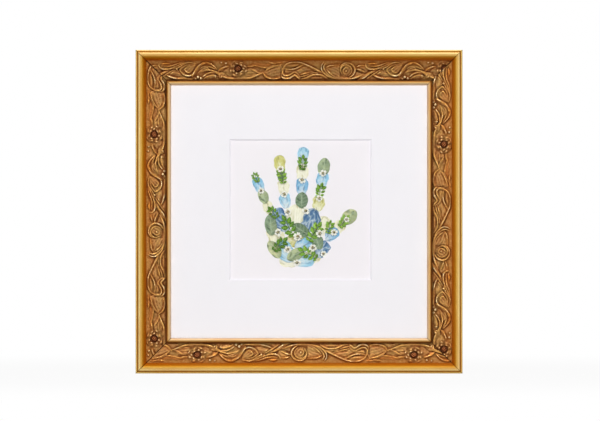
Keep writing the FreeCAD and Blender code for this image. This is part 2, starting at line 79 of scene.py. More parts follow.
class Value:
    # a shader socket that Python expressions can work with

    def __init__(self, tree, socket):
        self.tree = tree
        self.socket = socket

    @classmethod
    def make(cls, tree, kind, settings=None, inputs=None, output=0):
        node = tree.nodes.new("ShaderNode" + kind)
        for name, setting in (settings or {}).items():
            if name != "stops":
                setattr(node, name, setting)
                continue
            stops = node.color_ramp.elements
            stops.remove(stops[-1])
            stops[0].position = setting[0][0]
            stops[0].color = linear(setting[0][1])
            for place, colour in setting[1:]:
                stops.new(place).color = linear(colour)
        for name, value in (inputs or {}).items():
            if isinstance(value, Value):
                tree.links.new(value.socket, node.inputs[name])
            else:
                node.inputs[name].default_value = value
        return cls(tree, node.outputs[output]) if node.outputs else None

    def maths(self, operation, first, second=0.0):
        return Value.make(self.tree, "Math", {"operation": operation}, {0: first, 1: second})

    def __add__(self, other):
        return self.maths("ADD", self, other)

    def __sub__(self, other):
        return self.maths("SUBTRACT", self, other)

    def __rsub__(self, other):
        return self.maths("SUBTRACT", other, self)

    def __mul__(self, other):
        return self.maths("MULTIPLY", self, other)

    def __pow__(self, other):
        return self.maths("POWER", self, other)

    __radd__ = __add__
    __rmul__ = __mul__

    def wave(self):
        return self.maths("SINE", self)

    def size(self):
        return self.maths("ABSOLUTE", self)

    def most(self, other):
        return self.maths("MAXIMUM", self, other)

    def step(self, low, high):
        # 0 below low, 1 above high, smooth between
        return Value.make(self.tree, "MapRange", {"interpolation_type": "SMOOTHSTEP"},
                          {"Value": self, "From Min": low, "From Max": high})

    def blend(self, first, second):
        # this number mixes two colours
        return Value.make(self.tree, "Mix", {"data_type": "RGBA"},
                          {0: self, 6: linear(first), 7: linear(second)}, 2)

    def part(self, axis):
        return Value.make(self.tree, "SeparateXYZ", None, {0: self}, axis)

    def scaled(self, *factors):
        return Value.make(self.tree, "VectorMath", {"operation": "MULTIPLY"}, {0: self, 1: factors})

    def noise(self, scale, detail=3.0, roughness=0.55):
        return Value.make(self.tree, "TexNoise", None,
                          {"Vector": self, "Scale": scale, "Detail": detail, "Roughness": roughness})

    def cells(self, scale):
        return Value.make(self.tree, "TexVoronoi", None, {"Vector": self, "Scale": scale})

    def ramp(self, *stops):
        return Value.make(self.tree, "ValToRGB", {"stops": stops}, {0: self})

    def bump(self, depth, strength=1.0):
        # depth is in metres for a height of 1
        return Value.make(self.tree, "Bump", None, {"Strength": strength, "Distance": depth, "Height": self})


def clearedTree(owner):
    owner.use_nodes = True
    owner.node_tree.nodes.clear()
    return owner.node_tree


def newFinish(name, recipe):
    # recipe takes the node tree and gives the sockets of a Principled surface, or a finished surface
    material = bpy.data.materials.new(name)
    tree = clearedTree(material)
    surface = recipe(tree)
    if isinstance(surface, dict):
        surface = Value.make(tree, "BsdfPrincipled", None, surface)
    Value.make(tree, "OutputMaterial", None, {"Surface": surface})
    return material


def placeOn(tree, name="place"):
    return Value.make(tree, "Attribute", {"attribute_name": name}, None, "Vector")


def amountOn(tree, name):
    return Value.make(tree, "Attribute", {"attribute_name": name}, None, "Fac")


def objectPlace(tree):
    # object coordinates in millimetres
    return Value.make(tree, "TexCoord", None, None, "Object").scaled(1 / mm, 1 / mm, 1 / mm)


def addMesh(name, points, faces, materials, faceMaterials=None, attributes=None, sharpAngle=40):
    # with a sharpAngle of None every face is flat
    mesh = bpy.data.meshes.new(name)
    mesh.from_pydata([tuple(p) for p in points], [], faces)
    for material in materials:
        mesh.materials.append(material)
    if faceMaterials is not None:
        mesh.polygons.foreach_set("material_index", faceMaterials)
    for key, values in (attributes or {}).items():
        values = np.asarray(values, dtype=np.float32)
        kind, field = ("FLOAT", "value") if values.ndim == 1 else ("FLOAT_VECTOR", "vector")
        mesh.attributes.new(key, kind, "POINT").data.foreach_set(field, values.ravel())
    mesh.polygons.foreach_set("use_smooth", [sharpAngle is not None] * len(mesh.polygons))
    if sharpAngle is not None:
        mesh.set_sharp_from_angle(angle=math.radians(sharpAngle))
    mesh.validate()
    mesh.update()
    made = bpy.data.objects.new(name, mesh)
    bpy.context.scene.collection.objects.link(made)
    return made


def ringFaces(start, rings, steps):
    # quads between rings of points, one ring after the other
    faces = []
    for ring in range(rings):
        for k in range(steps):
            a, b = start + ring * steps + k, start + ring * steps + (k + 1) % steps
            faces.append((a, a + steps, b + steps, b))
    return faces


def cappedRings(start, rings, steps):
    # the same, closed at both ends
    first, last = start, start + rings * steps
    caps = [tuple(range(first, first + steps)), tuple(reversed(range(last, last + steps)))]
    return ringFaces(start, rings, steps) + caps


def curveThrough(points, steps):
    # a smooth line through given points
    points = np.asarray(points, dtype=float)
    before = np.vstack([2 * points[0] - points[1], points[:-1]])
    after = np.vstack([points[1:], 2 * points[-1] - points[-2]])
    line = []
    for k in range(len(points) - 1):
        p0, p1, p2, p3 = before[k], points[k], points[k + 1], after[k + 1]
        for t in np.arange(steps) / steps:
            line.append(0.5 * (2 * p1 + (p2 - p0) * t + (2 * p0 - 5 * p1 + 4 * p2 - p3) * t * t
                               + (3 * p1 - p0 - 3 * p2 + p3) * t ** 3))
    line.append(points[-1])
    return np.array(line)


# Finishes of the moulding

gilding = {
    # finish by the distance from the outer edge, in mm: the gilt's tones with painted light in them, a paler
    # lip, crest and sight edge as painted highlight, and darker quirks and deep orange flanks as painted
    # shade over the bole's own orange
    "section": [
        (0.0, (216, 188, 126)), (0.7, (208, 182, 112)), (1.1, (206, 150, 28)), (1.5, (192, 126, 4)),
        (1.8, (206, 162, 82)), (2.3, (224, 196, 130)), (3.0, (224, 194, 130)), (3.6, (204, 166, 94)),
        (4.3, (194, 154, 80)), (4.9, (192, 144, 54)), (5.6, (190, 126, 20)), (6.6, (184, 104, 6)),
        (8.0, (176, 92, 6)), (8.3, (128, 72, 24)), (21.8, (112, 66, 28)), (23.3, (110, 62, 20)),
        (23.8, (156, 102, 40)), (24.3, (180, 136, 72)), (24.9, (200, 168, 114)), (25.6, (206, 174, 132)),
        (26.8, (224, 202, 180)),
    ],
    "worn": (196, 122, 40),
    "bole": (142, 70, 14),
    "seam": (58, 30, 10),
    "gloss": (1.0, 0.72, 0.3, 1.0),
}


def giltMoulding(tree):
    place = placeOn(tree)
    seam = amountOn(tree, "seam")
    face = frameSizes["face"]
    mottle = place.scaled(0.1, 0.5, 0.5).noise(1.0, 4.0)
    speck = place.scaled(0.7, 1.5, 1.5).noise(1.6, 3.0, 0.7)
    drift = place.scaled(0.03, 0.2, 0.2).noise(1.0, 2.0)
    shifted = place.part(1) + (mottle - 0.5) * 0.35
    # the section's tones paint highlight on the lip and crests and shade in the quirks
    colour = (shifted * (1 / face)).ramp(*[(away / face, tone) for away, tone in gilding["section"]])
    colour = (drift.step(0.4, 0.7) * 0.25).blend(colour, gilding["worn"])
    colour = (speck.step(0.6, 0.76) * 0.35).blend(colour, gilding["bole"])
    colour = ((1 - seam.step(0.05, 0.4)) * 0.85).blend(colour, gilding["seam"])
    return {"Base Color": colour, "Metallic": 0.5, "Roughness": 0.42 + mottle * 0.2,
            "Specular IOR Level": 0.25, "Specular Tint": gilding["gloss"],
            "Normal": (speck * 0.6 + mottle * 0.4).bump(0.00006, 0.6)}


def sideGilt(tree):
    place = placeOn(tree)
    mottle = place.scaled(0.08, 0.3, 0.3).noise(1.0, 5.0)
    streak = place.scaled(0.05, 2.2, 2.2).noise(1.0, 4.0)
    colour = mottle.step(0.3, 0.7).blend((172, 126, 60), (188, 144, 84))
    colour = (streak.step(0.55, 0.8) * 0.25).blend(colour, gilding["bole"])
    return {"Base Color": colour, "Metallic": 0.5, "Roughness": 0.42 + mottle * 0.15,
            "Normal": (streak * 0.7 + mottle * 0.3).bump(0.00008, 0.5)}


def bareWood(tree):
    place = placeOn(tree)
    seam = amountOn(tree, "seam")
    grain = place.scaled(0.012, 0.35, 0.35).noise(1.0, 5.0, 0.55)
    fibre = place.scaled(0.12, 7.0, 7.0).noise(1.0, 3.0, 0.6)
    bands = ((place.part(1) * 0.5 + grain * 16.0).wave() * 0.5 + 0.5) * 0.45 + fibre * 0.55
    colour = bands.blend((222, 190, 142), (184, 142, 94))
    colour = (fibre.step(0.62, 0.8) * 0.6).blend(colour, (126, 86, 50))
    colour = ((1 - seam.step(0.03, 0.3)) * 0.8).blend(colour, (70, 44, 24))
    return {"Base Color": colour, "Roughness": 0.62 + fibre * 0.2,
            "Normal": (bands * 0.5 + fibre).bump(0.00012, 0.5)}


railFinishes = [newFinish(recipe.__name__, recipe) for recipe in (giltMoulding, sideGilt, bareWood)]
frontGilt, edgeGilt, backWood = range(3)

# Moulding rails: one section run between two mitres

moulding = {
    "lip": [(0.0, 18.4), (0.1, 18.9), (0.38, 19.28), (0.8, 19.4), (1.2, 19.24), (1.55, 18.8)],
    "bead": [(1.66, 19.5), (1.82, 20.4), (2.2, 21.25), (2.8, 21.78), (3.4, 21.84), (4.0, 21.8),
             (4.6, 21.78), (5.1, 21.5), (5.75, 20.9), (6.5, 19.95), (7.3, 18.8), (8.0, 17.6)],
    "sightBead": [(23.1, 12.2), (23.32, 13.0), (23.9, 13.8), (24.7, 14.15), (25.4, 14.08), (26.1, 13.65),
                  (26.6, 13.05), (26.8, 12.4)],
    "bed": [(8.0, 14.4), (23.1, 12.0)],
    "rebateWidth": 6.35,
    "rebateDepth": 10.5,
    "backAt": 0.06,
    "backChamfer": 0.4,
    "edgeTop": 18.0,
    "seamDepth": 0.22,
    "seamAbove": 12.0,
    "curveSteps": 4,
    # distances from the mitre at which the section is repeated
    "seamStations": (0.0, 0.25, 0.6, 6.0),
}


def mouldingSection():
    # points (inwards, forwards) round the section, and the finish of the strip after each
    shape = moulding
    face = frameSizes["face"]
    edge = face - shape["rebateWidth"]
    line = [((0.0, shape["backAt"] + shape["backChamfer"]), edgeGilt), ((0.0, shape["edgeTop"]), frontGilt)]
    for name in ("lip", "bead", "bed", "sightBead"):
        run = shape[name] if name == "bed" else curveThrough(shape[name], shape["curveSteps"])
        line += [(tuple(point), frontGilt) for point in run]
    back = [(face, shape["rebateDepth"]), (edge, shape["rebateDepth"]), (edge, shape["backAt"]),
            (shape["backChamfer"], shape["backAt"])]
    return line + [(point, backWood) for point in back]


def buildRail(side):
    section = mouldingSection()
    points, places, seams = [], [], []
    stations = [(-1, away) for away in moulding["seamStations"]]
    stations += [(1, away) for away in reversed(moulding["seamStations"])]
    for way, away in stations:
        for (inward, height), _ in section:
            along = way * (sideLength(side) / 2 - inward - away)
            drop = moulding["seamDepth"] if away == 0 and height > moulding["seamAbove"] else 0
            points.append(onSide(side, along, inward, height - drop))
            places.append((along + sideShift * sideNames.index(side), inward, height))
            seams.append(away)
    runs = len(stations) - 1
    faces = cappedRings(0, runs, len(section))
    finishes = [finish for _, finish in section] * runs + [backWood] * 2
    amounts = {"place": places, "seam": seams}
    rail = addMesh(f"mouldingRail_{side}", points, faces, railFinishes, finishes, amounts)
    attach(rail, "frame")
    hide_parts(f"rail_{side}")


for side in sideNames:
    buildRail(side)
print("moulding rails done")

# Pressed ornament: one repeat of vine, leaves, curls and flower, drawn in steps of which 205 make a repeat.
# Places are (along the repeat, inwards from the outer edge).

ornament = {
    "repeatSteps": 205,
    "stepSize": 0.7563,
    # the map of one repeat: samples to a step, rows inwards, and steps drawn on beyond each end
    "samples": 4,
    "rows": (9, 33),
    "margin": 40,
    "outer": 8.0,
    "inner": 23.1,
    "ground": [(8.0, 16.0), (12.0, 15.0), (17.0, 13.7), (21.6, 12.75), (22.3, 12.3), (23.1, 12.1)],
    "relief": 1.75,
    # over what width the relief fades in at the outer edge, from what share, and out at the sight edge
    "fadeIn": (1.2, 0.2),
    "fadeOut": (0.9, 22.6),
    "meshStep": 0.3,
    "seamDepth": 0.35,
    "seamWidth": 0.35,
    # how often the map is softened: relief, orange glaze with painted reflection, the cast's unevenness, its
    # waves, and the ground's level
    "soften": (2, 6, 10, 60, 34),
    # painted shade with patina in the crevices and painted highlight on the crests: level of the ground and
    # gain; painted shade at the sight edge and in the outer corner, by the beads: where it starts, over what
    # width, and what the level loses
    "patinaShadeAndHighlight": (0.47, 1.8),
    "sightBeadShade": (21.9, 0.6, 0.22),
    "outerBeadShade": (9.0, 1.0, 0.08),
    # where the flower's middle falls along each side, and the length of a repeat there
    "start": {"bottom": 87.09, "left": 96.35, "top": 46.32, "right": 51.13},
    "repeat": {"bottom": 164.1, "left": 154.66, "top": 156.55, "right": 155.27},
}

# leaf bodies: (height, orange glaze with painted reflection of the outer bead, outline); a body slopes down
# to its inner side
ornamentLeaves = [
    (0.42, 0.9, [(14, 12.2), (20, 13.4), (27, 14.2), (35, 13), (43, 11.6), (46, 12.4), (40, 15.2),
                 (30, 17.6), (22, 16)]),
    (0.5, 0.0, [(25.5, 22.5), (30, 19.6), (35, 17), (43.2, 14.6), (43.6, 21), (43, 28), (37, 29.2),
                (31, 28.4), (27.5, 26)]),
    (0.46, 0.0, [(47, 15.8), (50, 14), (55, 13.4), (60, 14), (62.6, 15.2), (59, 17.2), (53, 17.9),
                 (48.6, 17.3)]),
    (0.5, 0.0, [(57, 20.5), (62, 17), (67, 15.4), (72, 17.3), (78, 20.4), (70, 22.6), (62, 24.6),
                (58.4, 23)]),
    (0.4, 0.15, [(70, 28.6), (74, 26.6), (79, 26), (85, 27.8), (80, 29.4), (74, 29.4)]),
    (0.36, 0.1, [(47, 19.6), (56, 19.4), (58, 21), (52, 23.6), (48, 24.4), (46, 22)]),
    (0.5, 0.0, [(87.5, 17.6), (91, 16), (101, 15), (102, 19), (101.6, 25), (100.6, 28.2), (95, 26.4),
                (90, 22.4)]),
    (0.44, 0.0, [(103, 18), (107, 14.4), (112, 17), (113.4, 21), (110.6, 26), (105, 26.4), (102.4, 23)]),
    (0.6, 0.95, [(104, 13.4), (108, 12), (113, 12.4), (116, 16), (116.4, 20), (114.8, 21), (113.4, 16.8),
                 (109, 13.8)]),
    (0.42, 0.15, [(116.6, 18), (121, 16), (127, 15.2), (131, 18), (127, 23.4), (121, 20.6)]),
    (0.4, 0.0, [(117, 21.5), (123, 23.4), (122, 25.4), (116, 27.4), (114.6, 26)]),
    (0.72, 1.0, [(128.6, 13.6), (132, 11.8), (136, 12.4), (138, 14.2), (134, 15.4), (130, 15)]),
    (0.38, 0.0, [(135, 24), (139, 21), (145, 19), (148, 21.6), (151, 25.6), (146, 27.6), (139, 26.6)]),
    (0.5, 0.1, [(148.4, 20), (153, 15.6), (159, 13.6), (163.4, 14.6), (162.6, 20), (158, 25.4),
                (152, 25.2)]),
    (0.75, 0.6, [(160, 25.6), (161.6, 21.6), (164, 17.6), (167.4, 13.8), (171, 12), (175.4, 12.2),
                 (173, 14.6), (169, 17.2), (165, 21.8)]),
    (0.46, 0.0, [(166, 21.6), (169, 17.8), (172, 16.6), (176.4, 18.8), (172, 20.8), (168, 22.8)]),
    (0.4, 0.0, [(171, 27), (175, 24.8), (181, 23.6), (186, 26.4), (180, 28.6), (174, 29)]),
    (0.34, 0.1, [(190, 21), (194, 17.4), (198, 17), (200.6, 23.4), (203, 27), (197, 27), (192, 24.4)]),
    (0.34, 0.05, [(6, 23), (10, 18), (16, 18), (21, 23.4), (15, 26), (8, 27.4)]),
]

# raised lines: (half width, height, orange glaze with painted reflection of the outer bead, points); each
# lies over the ones before it
ornamentLines = [
    # vine below the flower, and the stems either side of it
    (1.5, 0.8, 0.1, [(-30, 19.6), (-23, 22), (-17, 25.2), (-12, 27.6), (-5, 29.1), (3, 29.5), (10, 28.4),
                     (17, 26), (25, 23)]),
    (1.3, 0.75, 0.5, [(-20, 22), (-16.5, 18.8), (-12, 16.8), (-8.5, 16.2)]),
    (0.9, 0.5, 0.0, [(-20, 23.4), (-15, 23.2), (-11, 25.6)]),
    (1.0, 0.6, 0.4, [(8.6, 16.4), (12, 16.6), (17.5, 15.6)]),
    (0.9, 0.55, 0.1, [(11.5, 18.2), (15, 20), (19, 22.4), (24, 24)]),
    (0.9, 0.5, 0.0, [(6.5, 23.4), (12, 23), (18, 23.2)]),
    (0.9, 0.5, 0.2, [(8, 25.6), (13, 25.4), (18.5, 24.4)]),
    # leaf along the outer edge
    (0.9, 0.55, 0.5, [(14, 14.6), (21, 16.6), (28, 17.8), (33, 16.4)]),
    (1.0, 0.6, 0.3, [(31, 12.8), (37, 13.4), (43, 12)]),
    # bell leaf
    (1.2, 0.85, 0.35, [(24.6, 22.4), (27.6, 26.4), (32, 28.6), (37, 29), (42.6, 27.8)]),
    (1.1, 0.8, 0.2, [(26, 22.6), (30, 19.4), (35, 16.8), (44, 14.2)]),
    (0.8, 0.6, 0.1, [(27.4, 20.4), (31, 17.4), (37.5, 14.4)]),
    (0.7, 0.6, 0.0, [(42.8, 15), (43.6, 21), (42.8, 27.8)]),
    (0.55, 0.5, 0.0, [(41, 16.4), (41.7, 21.6), (41.2, 26.4)]),
    # ridge under the oval that becomes the top of the third leaf
    (1.1, 0.8, 0.25, [(46, 18.6), (50, 19.4), (56, 19), (60.4, 17.2), (64, 15.4), (68, 15.2), (73, 17.4),
                      (78, 20.4)]),
    # long arch over the oval, running down into the lower vine
    (1.4, 0.9, 0.3, [(45.6, 23.4), (44.8, 20), (46, 16.6), (49, 13.8), (54, 12.3), (60, 12.3), (65, 13.6),
                     (71, 16.4), (77, 19.4), (83, 22.6), (89, 26.2), (97, 29)]),
    # two lines of the S-curl
    (1.1, 0.8, 0.1, [(44.2, 18), (44, 22), (45.6, 25.2), (49, 25.8), (53, 24), (56, 22.2), (59, 23.8),
                     (61.6, 27.4)]),
    (1.3, 0.95, 0.15, [(43, 24.4), (44, 27.2), (47.4, 28.8), (51.4, 28.2), (54.4, 26.2), (56.8, 25.4),
                       (59, 27.2), (61.4, 29.4)]),
    # third leaf's lower edges and the arch below
    (1.0, 0.75, 0.3, [(60.8, 25), (66, 23.7), (72, 22.2), (77, 20.8)]),
    (0.9, 0.65, 0.0, [(62, 26.8), (69, 25), (75, 23), (82, 22.8)]),
    (1.2, 0.8, 0.1, [(62.6, 29.2), (68, 27.9), (73, 25.4), (79, 24.6), (84, 25.6), (89, 28.6)]),
    # two upright curls
    (1.1, 0.95, 0.0, [(84.6, 12.6), (82.8, 16), (83.2, 20), (86, 23.6), (90, 26.6), (96, 29.2)]),
    (0.95, 0.8, 0.0, [(86.4, 13.4), (85, 17), (86.2, 20.6), (89.2, 24), (93, 27), (98, 28.8)]),
    # shield leaf
    (1.1, 0.8, 0.45, [(86.8, 18), (90.6, 16), (95, 15.3), (101.4, 14.8)]),
    (0.9, 0.7, 0.0, [(87.4, 18.4), (90.2, 22.2), (95, 26.2), (100.4, 28)]),
    # vine under the spiral
    (1.4, 0.85, 0.1, [(94, 28.8), (104, 29.4), (112, 28.9), (118.4, 27), (125, 24.2)]),
    # round spiral
    (1.2, 0.95, 0.2, [(101, 20), (102.8, 15.4), (107, 13), (112, 13.8), (115.4, 17.2), (116, 21),
                      (114.2, 25), (110, 28)]),
    (1.0, 0.85, 0.0, [(103.4, 24.6), (101.8, 20.4), (103.4, 16.6), (107, 14.9), (110.8, 16.4),
                      (112.9, 19.8), (112.3, 23.2), (109.6, 26)]),
    (0.9, 0.8, 0.1, [(110, 18.6), (107.4, 17.4), (104.9, 19.2), (104.4, 22), (106.4, 24.2), (109.6, 23.6)]),
    # leaf tip right of it
    (1.0, 0.7, 0.5, [(116.6, 17.8), (121, 15.7), (127, 15.2)]),
    (1.0, 0.8, 0.1, [(116.2, 18.6), (121, 19.8), (126.4, 22.6)]),
    # slanting stems
    (1.1, 0.85, 0.1, [(118.6, 30.2), (124, 28.2), (129, 25), (134, 22.2), (138.6, 19.4)]),
    (0.9, 0.75, 0.3, [(121, 28), (126, 25.2), (131, 22.8), (136, 20)]),
    (0.8, 0.6, 0.0, [(128, 28.8), (133, 25), (138, 22), (142, 19.4)]),
    # broad open curl
    (1.2, 0.95, 0.15, [(126.6, 14), (127.4, 17.2), (130.6, 19.1), (135.4, 19.2), (140, 18), (146, 15.6),
                       (152, 13.2), (158, 11.8)]),
    (0.9, 0.8, 0.5, [(129, 15.9), (134, 16.5), (140, 15.7), (146, 13.4), (151, 11.9)]),
    # small arc and the ridge below it
    (0.8, 0.75, 0.0, [(137.6, 24.8), (140.6, 22.6), (144, 22.6), (147.4, 24.6)]),
    (1.2, 0.95, 0.25, [(134, 25.2), (138, 27), (143, 28.4), (148, 29.1), (160, 29.4)]),
    # bud of two chevrons
    (1.0, 0.85, 0.15, [(141, 18.8), (147, 17.2), (152.6, 14), (157.4, 12.6), (163.4, 13.7)]),
    (1.0, 0.9, 0.0, [(160.6, 14.6), (155, 15), (151, 17), (147.8, 20), (150, 23.4), (153.6, 25.6),
                     (157.6, 25.8), (161.4, 23), (163, 19)]),
    (0.85, 0.85, 0.1, [(162, 16.6), (158.6, 16.2), (155, 17.2), (152.4, 19.7), (154.4, 22.2), (158, 22.3),
                       (161, 19.4)]),
    # twisted leaf
    (1.6, 1.0, 0.2, [(159.4, 26.6), (161.8, 22.4), (164.4, 18.4), (167.4, 15), (170.6, 13)]),
    (1.2, 0.9, 0.65, [(167, 14.8), (170.6, 12.6), (174.6, 12.5), (178.6, 14.2), (182, 17), (184.6, 20)]),
    (0.8, 0.7, 0.0, [(173.6, 15.8), (179, 17.4), (184, 20.4)]),
    (1.0, 0.8, 0.1, [(166, 22.4), (171, 20.8), (176, 20), (181, 21), (187, 23.2), (194, 26)]),
    (0.8, 0.6, 0.0, [(167, 19.2), (170, 17), (173, 16.6), (176.6, 18.8)]),
    # loop leaf
    (1.0, 0.8, 0.2, [(170, 27), (174, 24), (178, 22.6), (183, 23.4)]),
    (0.8, 0.65, 0.0, [(171.4, 28.6), (176, 26), (181, 25.4), (185, 26.8)]),
    (0.8, 0.85, 0.1, [(182.4, 24.6), (182.7, 28)]),
    (0.8, 0.85, 0.1, [(186.2, 25), (187.4, 28.6)]),
]

# beads: (place, radius, height)
ornamentBeads = [
    ((165.4, 27.2), 1.6, 0.9), ((168.4, 28.6), 1.3, 0.8), ((163.2, 28.8), 1.1, 0.7), ((188.6, 27), 1.2, 0.7),
    ((-12, 13.2), 1.3, 0.6), ((-16.4, 12.6), 1.0, 0.5), ((144.4, 19), 1.2, 0.75), ((107.2, 21.2), 1.2, 0.75),
]
# rows of crimped petals round a beaded dome: (ring, spread, height, petals, their turn, how they stray)
ornamentFlower = {
    "centre": (0.2, 18.5), "stretch": 1.04, "reach": 9.6, "rim": 1.2, "dome": 3.1, "domeRim": 0.9,
    "ground": 0.1, "rows": ((4.9, 1.1, 0.75, 7, 0.0, 1.0, 3), (7.5, 1.3, 0.7, 8, 3.1, 0.8, 2)),
}
# how the forms are cut, in steps: leaves rise over their rim and carry strokes, lines roll over to one side
ornamentCut = {
    "leafRise": 1.3, "leafTilt": (1.1, 0.35), "strokes": (0.05, 2.3, 0.8), "fineStrokes": (0.015, 7.3),
    "innerSide": 2.1, "taper": 0.75, "swell": 0.16, "groove": 0.11, "beadGroove": 0.15,
    "rough": 0.5, "waves": 1.6,
}


def lineDistance(x, y, points):
    # every map point's distance to a line of straight pieces, its share of the way along and its side
    best = np.full(x.shape, 1e9)
    share = np.zeros(x.shape)
    side = np.ones(x.shape)
    ends = np.append(0, np.cumsum(np.hypot(*np.diff(points, axis=0).T)))
    for k, ((x0, y0), (x1, y1)) in enumerate(zip(points[:-1], points[1:])):
        runX, runY = x1 - x0, y1 - y0
        part = np.clip(((x - x0) * runX + (y - y0) * runY) / (runX ** 2 + runY ** 2 + 1e-9), 0, 1)
        away = (x - x0 - part * runX) ** 2 + (y - y0 - part * runY) ** 2
        nearer = away < best
        best = np.where(nearer, away, best)
        share = np.where(nearer, (ends[k] + part * (ends[k + 1] - ends[k])) / ends[-1], share)
        side = np.where(nearer, np.sign(runX * (y - y0) - runY * (x - x0)), side)
    return np.sqrt(best), share, side


def insideOutline(x, y, points):
    inside = np.zeros(x.shape, dtype=bool)
    for (x0, y0), (x1, y1) in zip(points, np.roll(points, -1, axis=0)):
        crosses = (y0 > y) != (y1 > y)
        inside ^= crosses & (x < (x1 - x0) * (y - y0) / (y1 - y0 + 1e-9) + x0)
    return inside


def softened(layer, passes):
    for _ in range(passes):
        layer = (np.roll(layer, 1, 0) + np.roll(layer, -1, 0) + 2 * layer) / 4
        padded = np.pad(layer, ((0, 0), (1, 1)), mode="edge")
        layer = (padded[:, :-2] + padded[:, 2:] + 2 * layer) / 4
    return layer


def leafBody(x, y, outline, height):
    # a leaf's height and its depth inside the rim, with strokes along its length
    rim = np.vstack([outline, outline[:1]])
    depth = lineDistance(x, y, rim)[0] * insideOutline(x, y, outline)
    middle = outline.mean(axis=0)
    runX, runY = np.linalg.svd(outline - middle)[2][0]
    runX, runY = (runX, runY) if runX > 0 else (-runX, -runY)
    across = (x - middle[0]) * runY - (y - middle[1]) * runX
    deep, pitch, stray = ornamentCut["strokes"]
    fineDeep, finePitch = ornamentCut["fineStrokes"]
    stroke = deep * np.cos(across * pitch + stray * np.sin(x * 0.5)) + fineDeep * np.cos(across * finePitch)
    level, tilt = ornamentCut["leafTilt"]
    slope = level - tilt * (y - middle[1]) / (np.ptp(outline[:, 1]) / 2)
    body = height * slope * (1 - np.exp(-depth / ornamentCut["leafRise"]))
    return body + stroke * np.clip(depth / 1.2, 0, 1), depth


def rolledLine(x, y, line, half, height, phases):
    # a leaf rolls over its line: steep outside the bend, a long slope inside it, a groove along its foot
    away, share, side = lineDistance(x, y, line)
    runs = np.diff(line, axis=0)
    bend = np.sign(np.sum(runs[:-1, 0] * runs[1:, 1] - runs[:-1, 1] * runs[1:, 0]))
    inner = side * bend > 0
    full = ornamentCut["taper"]
    taper = np.clip(np.minimum(share, 1 - share) * 4, 0, 1) ** 0.7 * full + 1 - full
    swell = 1 + ornamentCut["swell"] * np.sin(share * 9 + phases[0])
    across = away / (half * taper * swell * np.where(inner, ornamentCut["innerSide"], 1.0))
    groove = ornamentCut["groove"] * np.exp(-((away - half * taper - 0.3) / 0.5) ** 2) * taper * ~inner
    slope = np.where(inner, np.clip(1 - across, 0, 1) ** 1.25, np.clip(1 - across ** 2, 0, 1))
    crest = height * taper ** 0.5 * (0.86 + 0.18 * np.sin(share * 7 + phases[1])) * slope
    return crest, groove, across < 1


def setFlower(x, y, relief, mask):
    # the relief and the mask with a flower set into them
    flower = ornamentFlower
    reach, turn = np.hypot(x, y), np.arctan2(y, x)
    uneven = 1 + 0.1 * np.sin(3 * turn + 1.3) + 0.06 * np.sin(5 * turn)
    petals = flower["ground"]
    for ring, spread, height, count, start, stray, strays in flower["rows"]:
        crimp = 0.6 + 0.4 * np.cos(count * turn + start + stray * np.sin(strays * turn))
        petals = petals + height * np.exp(-((reach - ring * uneven) / spread) ** 2) * crimp
    inFlower = np.clip((flower["reach"] - reach) / flower["rim"], 0, 1)
    relief = relief * (1 - inFlower * 0.75) + inFlower * petals
    dome = np.sqrt(np.clip(1 - (reach / flower["dome"]) ** 2, 0, 1))
    beaded = 0.72 + 0.34 * np.sin(x * 2.6 + 1) * np.sin(y * 2.8 + 0.6 * x)
    relief = np.where(reach < flower["dome"] + 0.7, dome * beaded * 1.1 - 0.1, relief)
    onDome = np.clip((flower["dome"] + flower["domeRim"] - reach) / flower["domeRim"], 0, 1)
    return relief, np.maximum(mask, np.maximum(onDome, 0.3 * inFlower)), inFlower


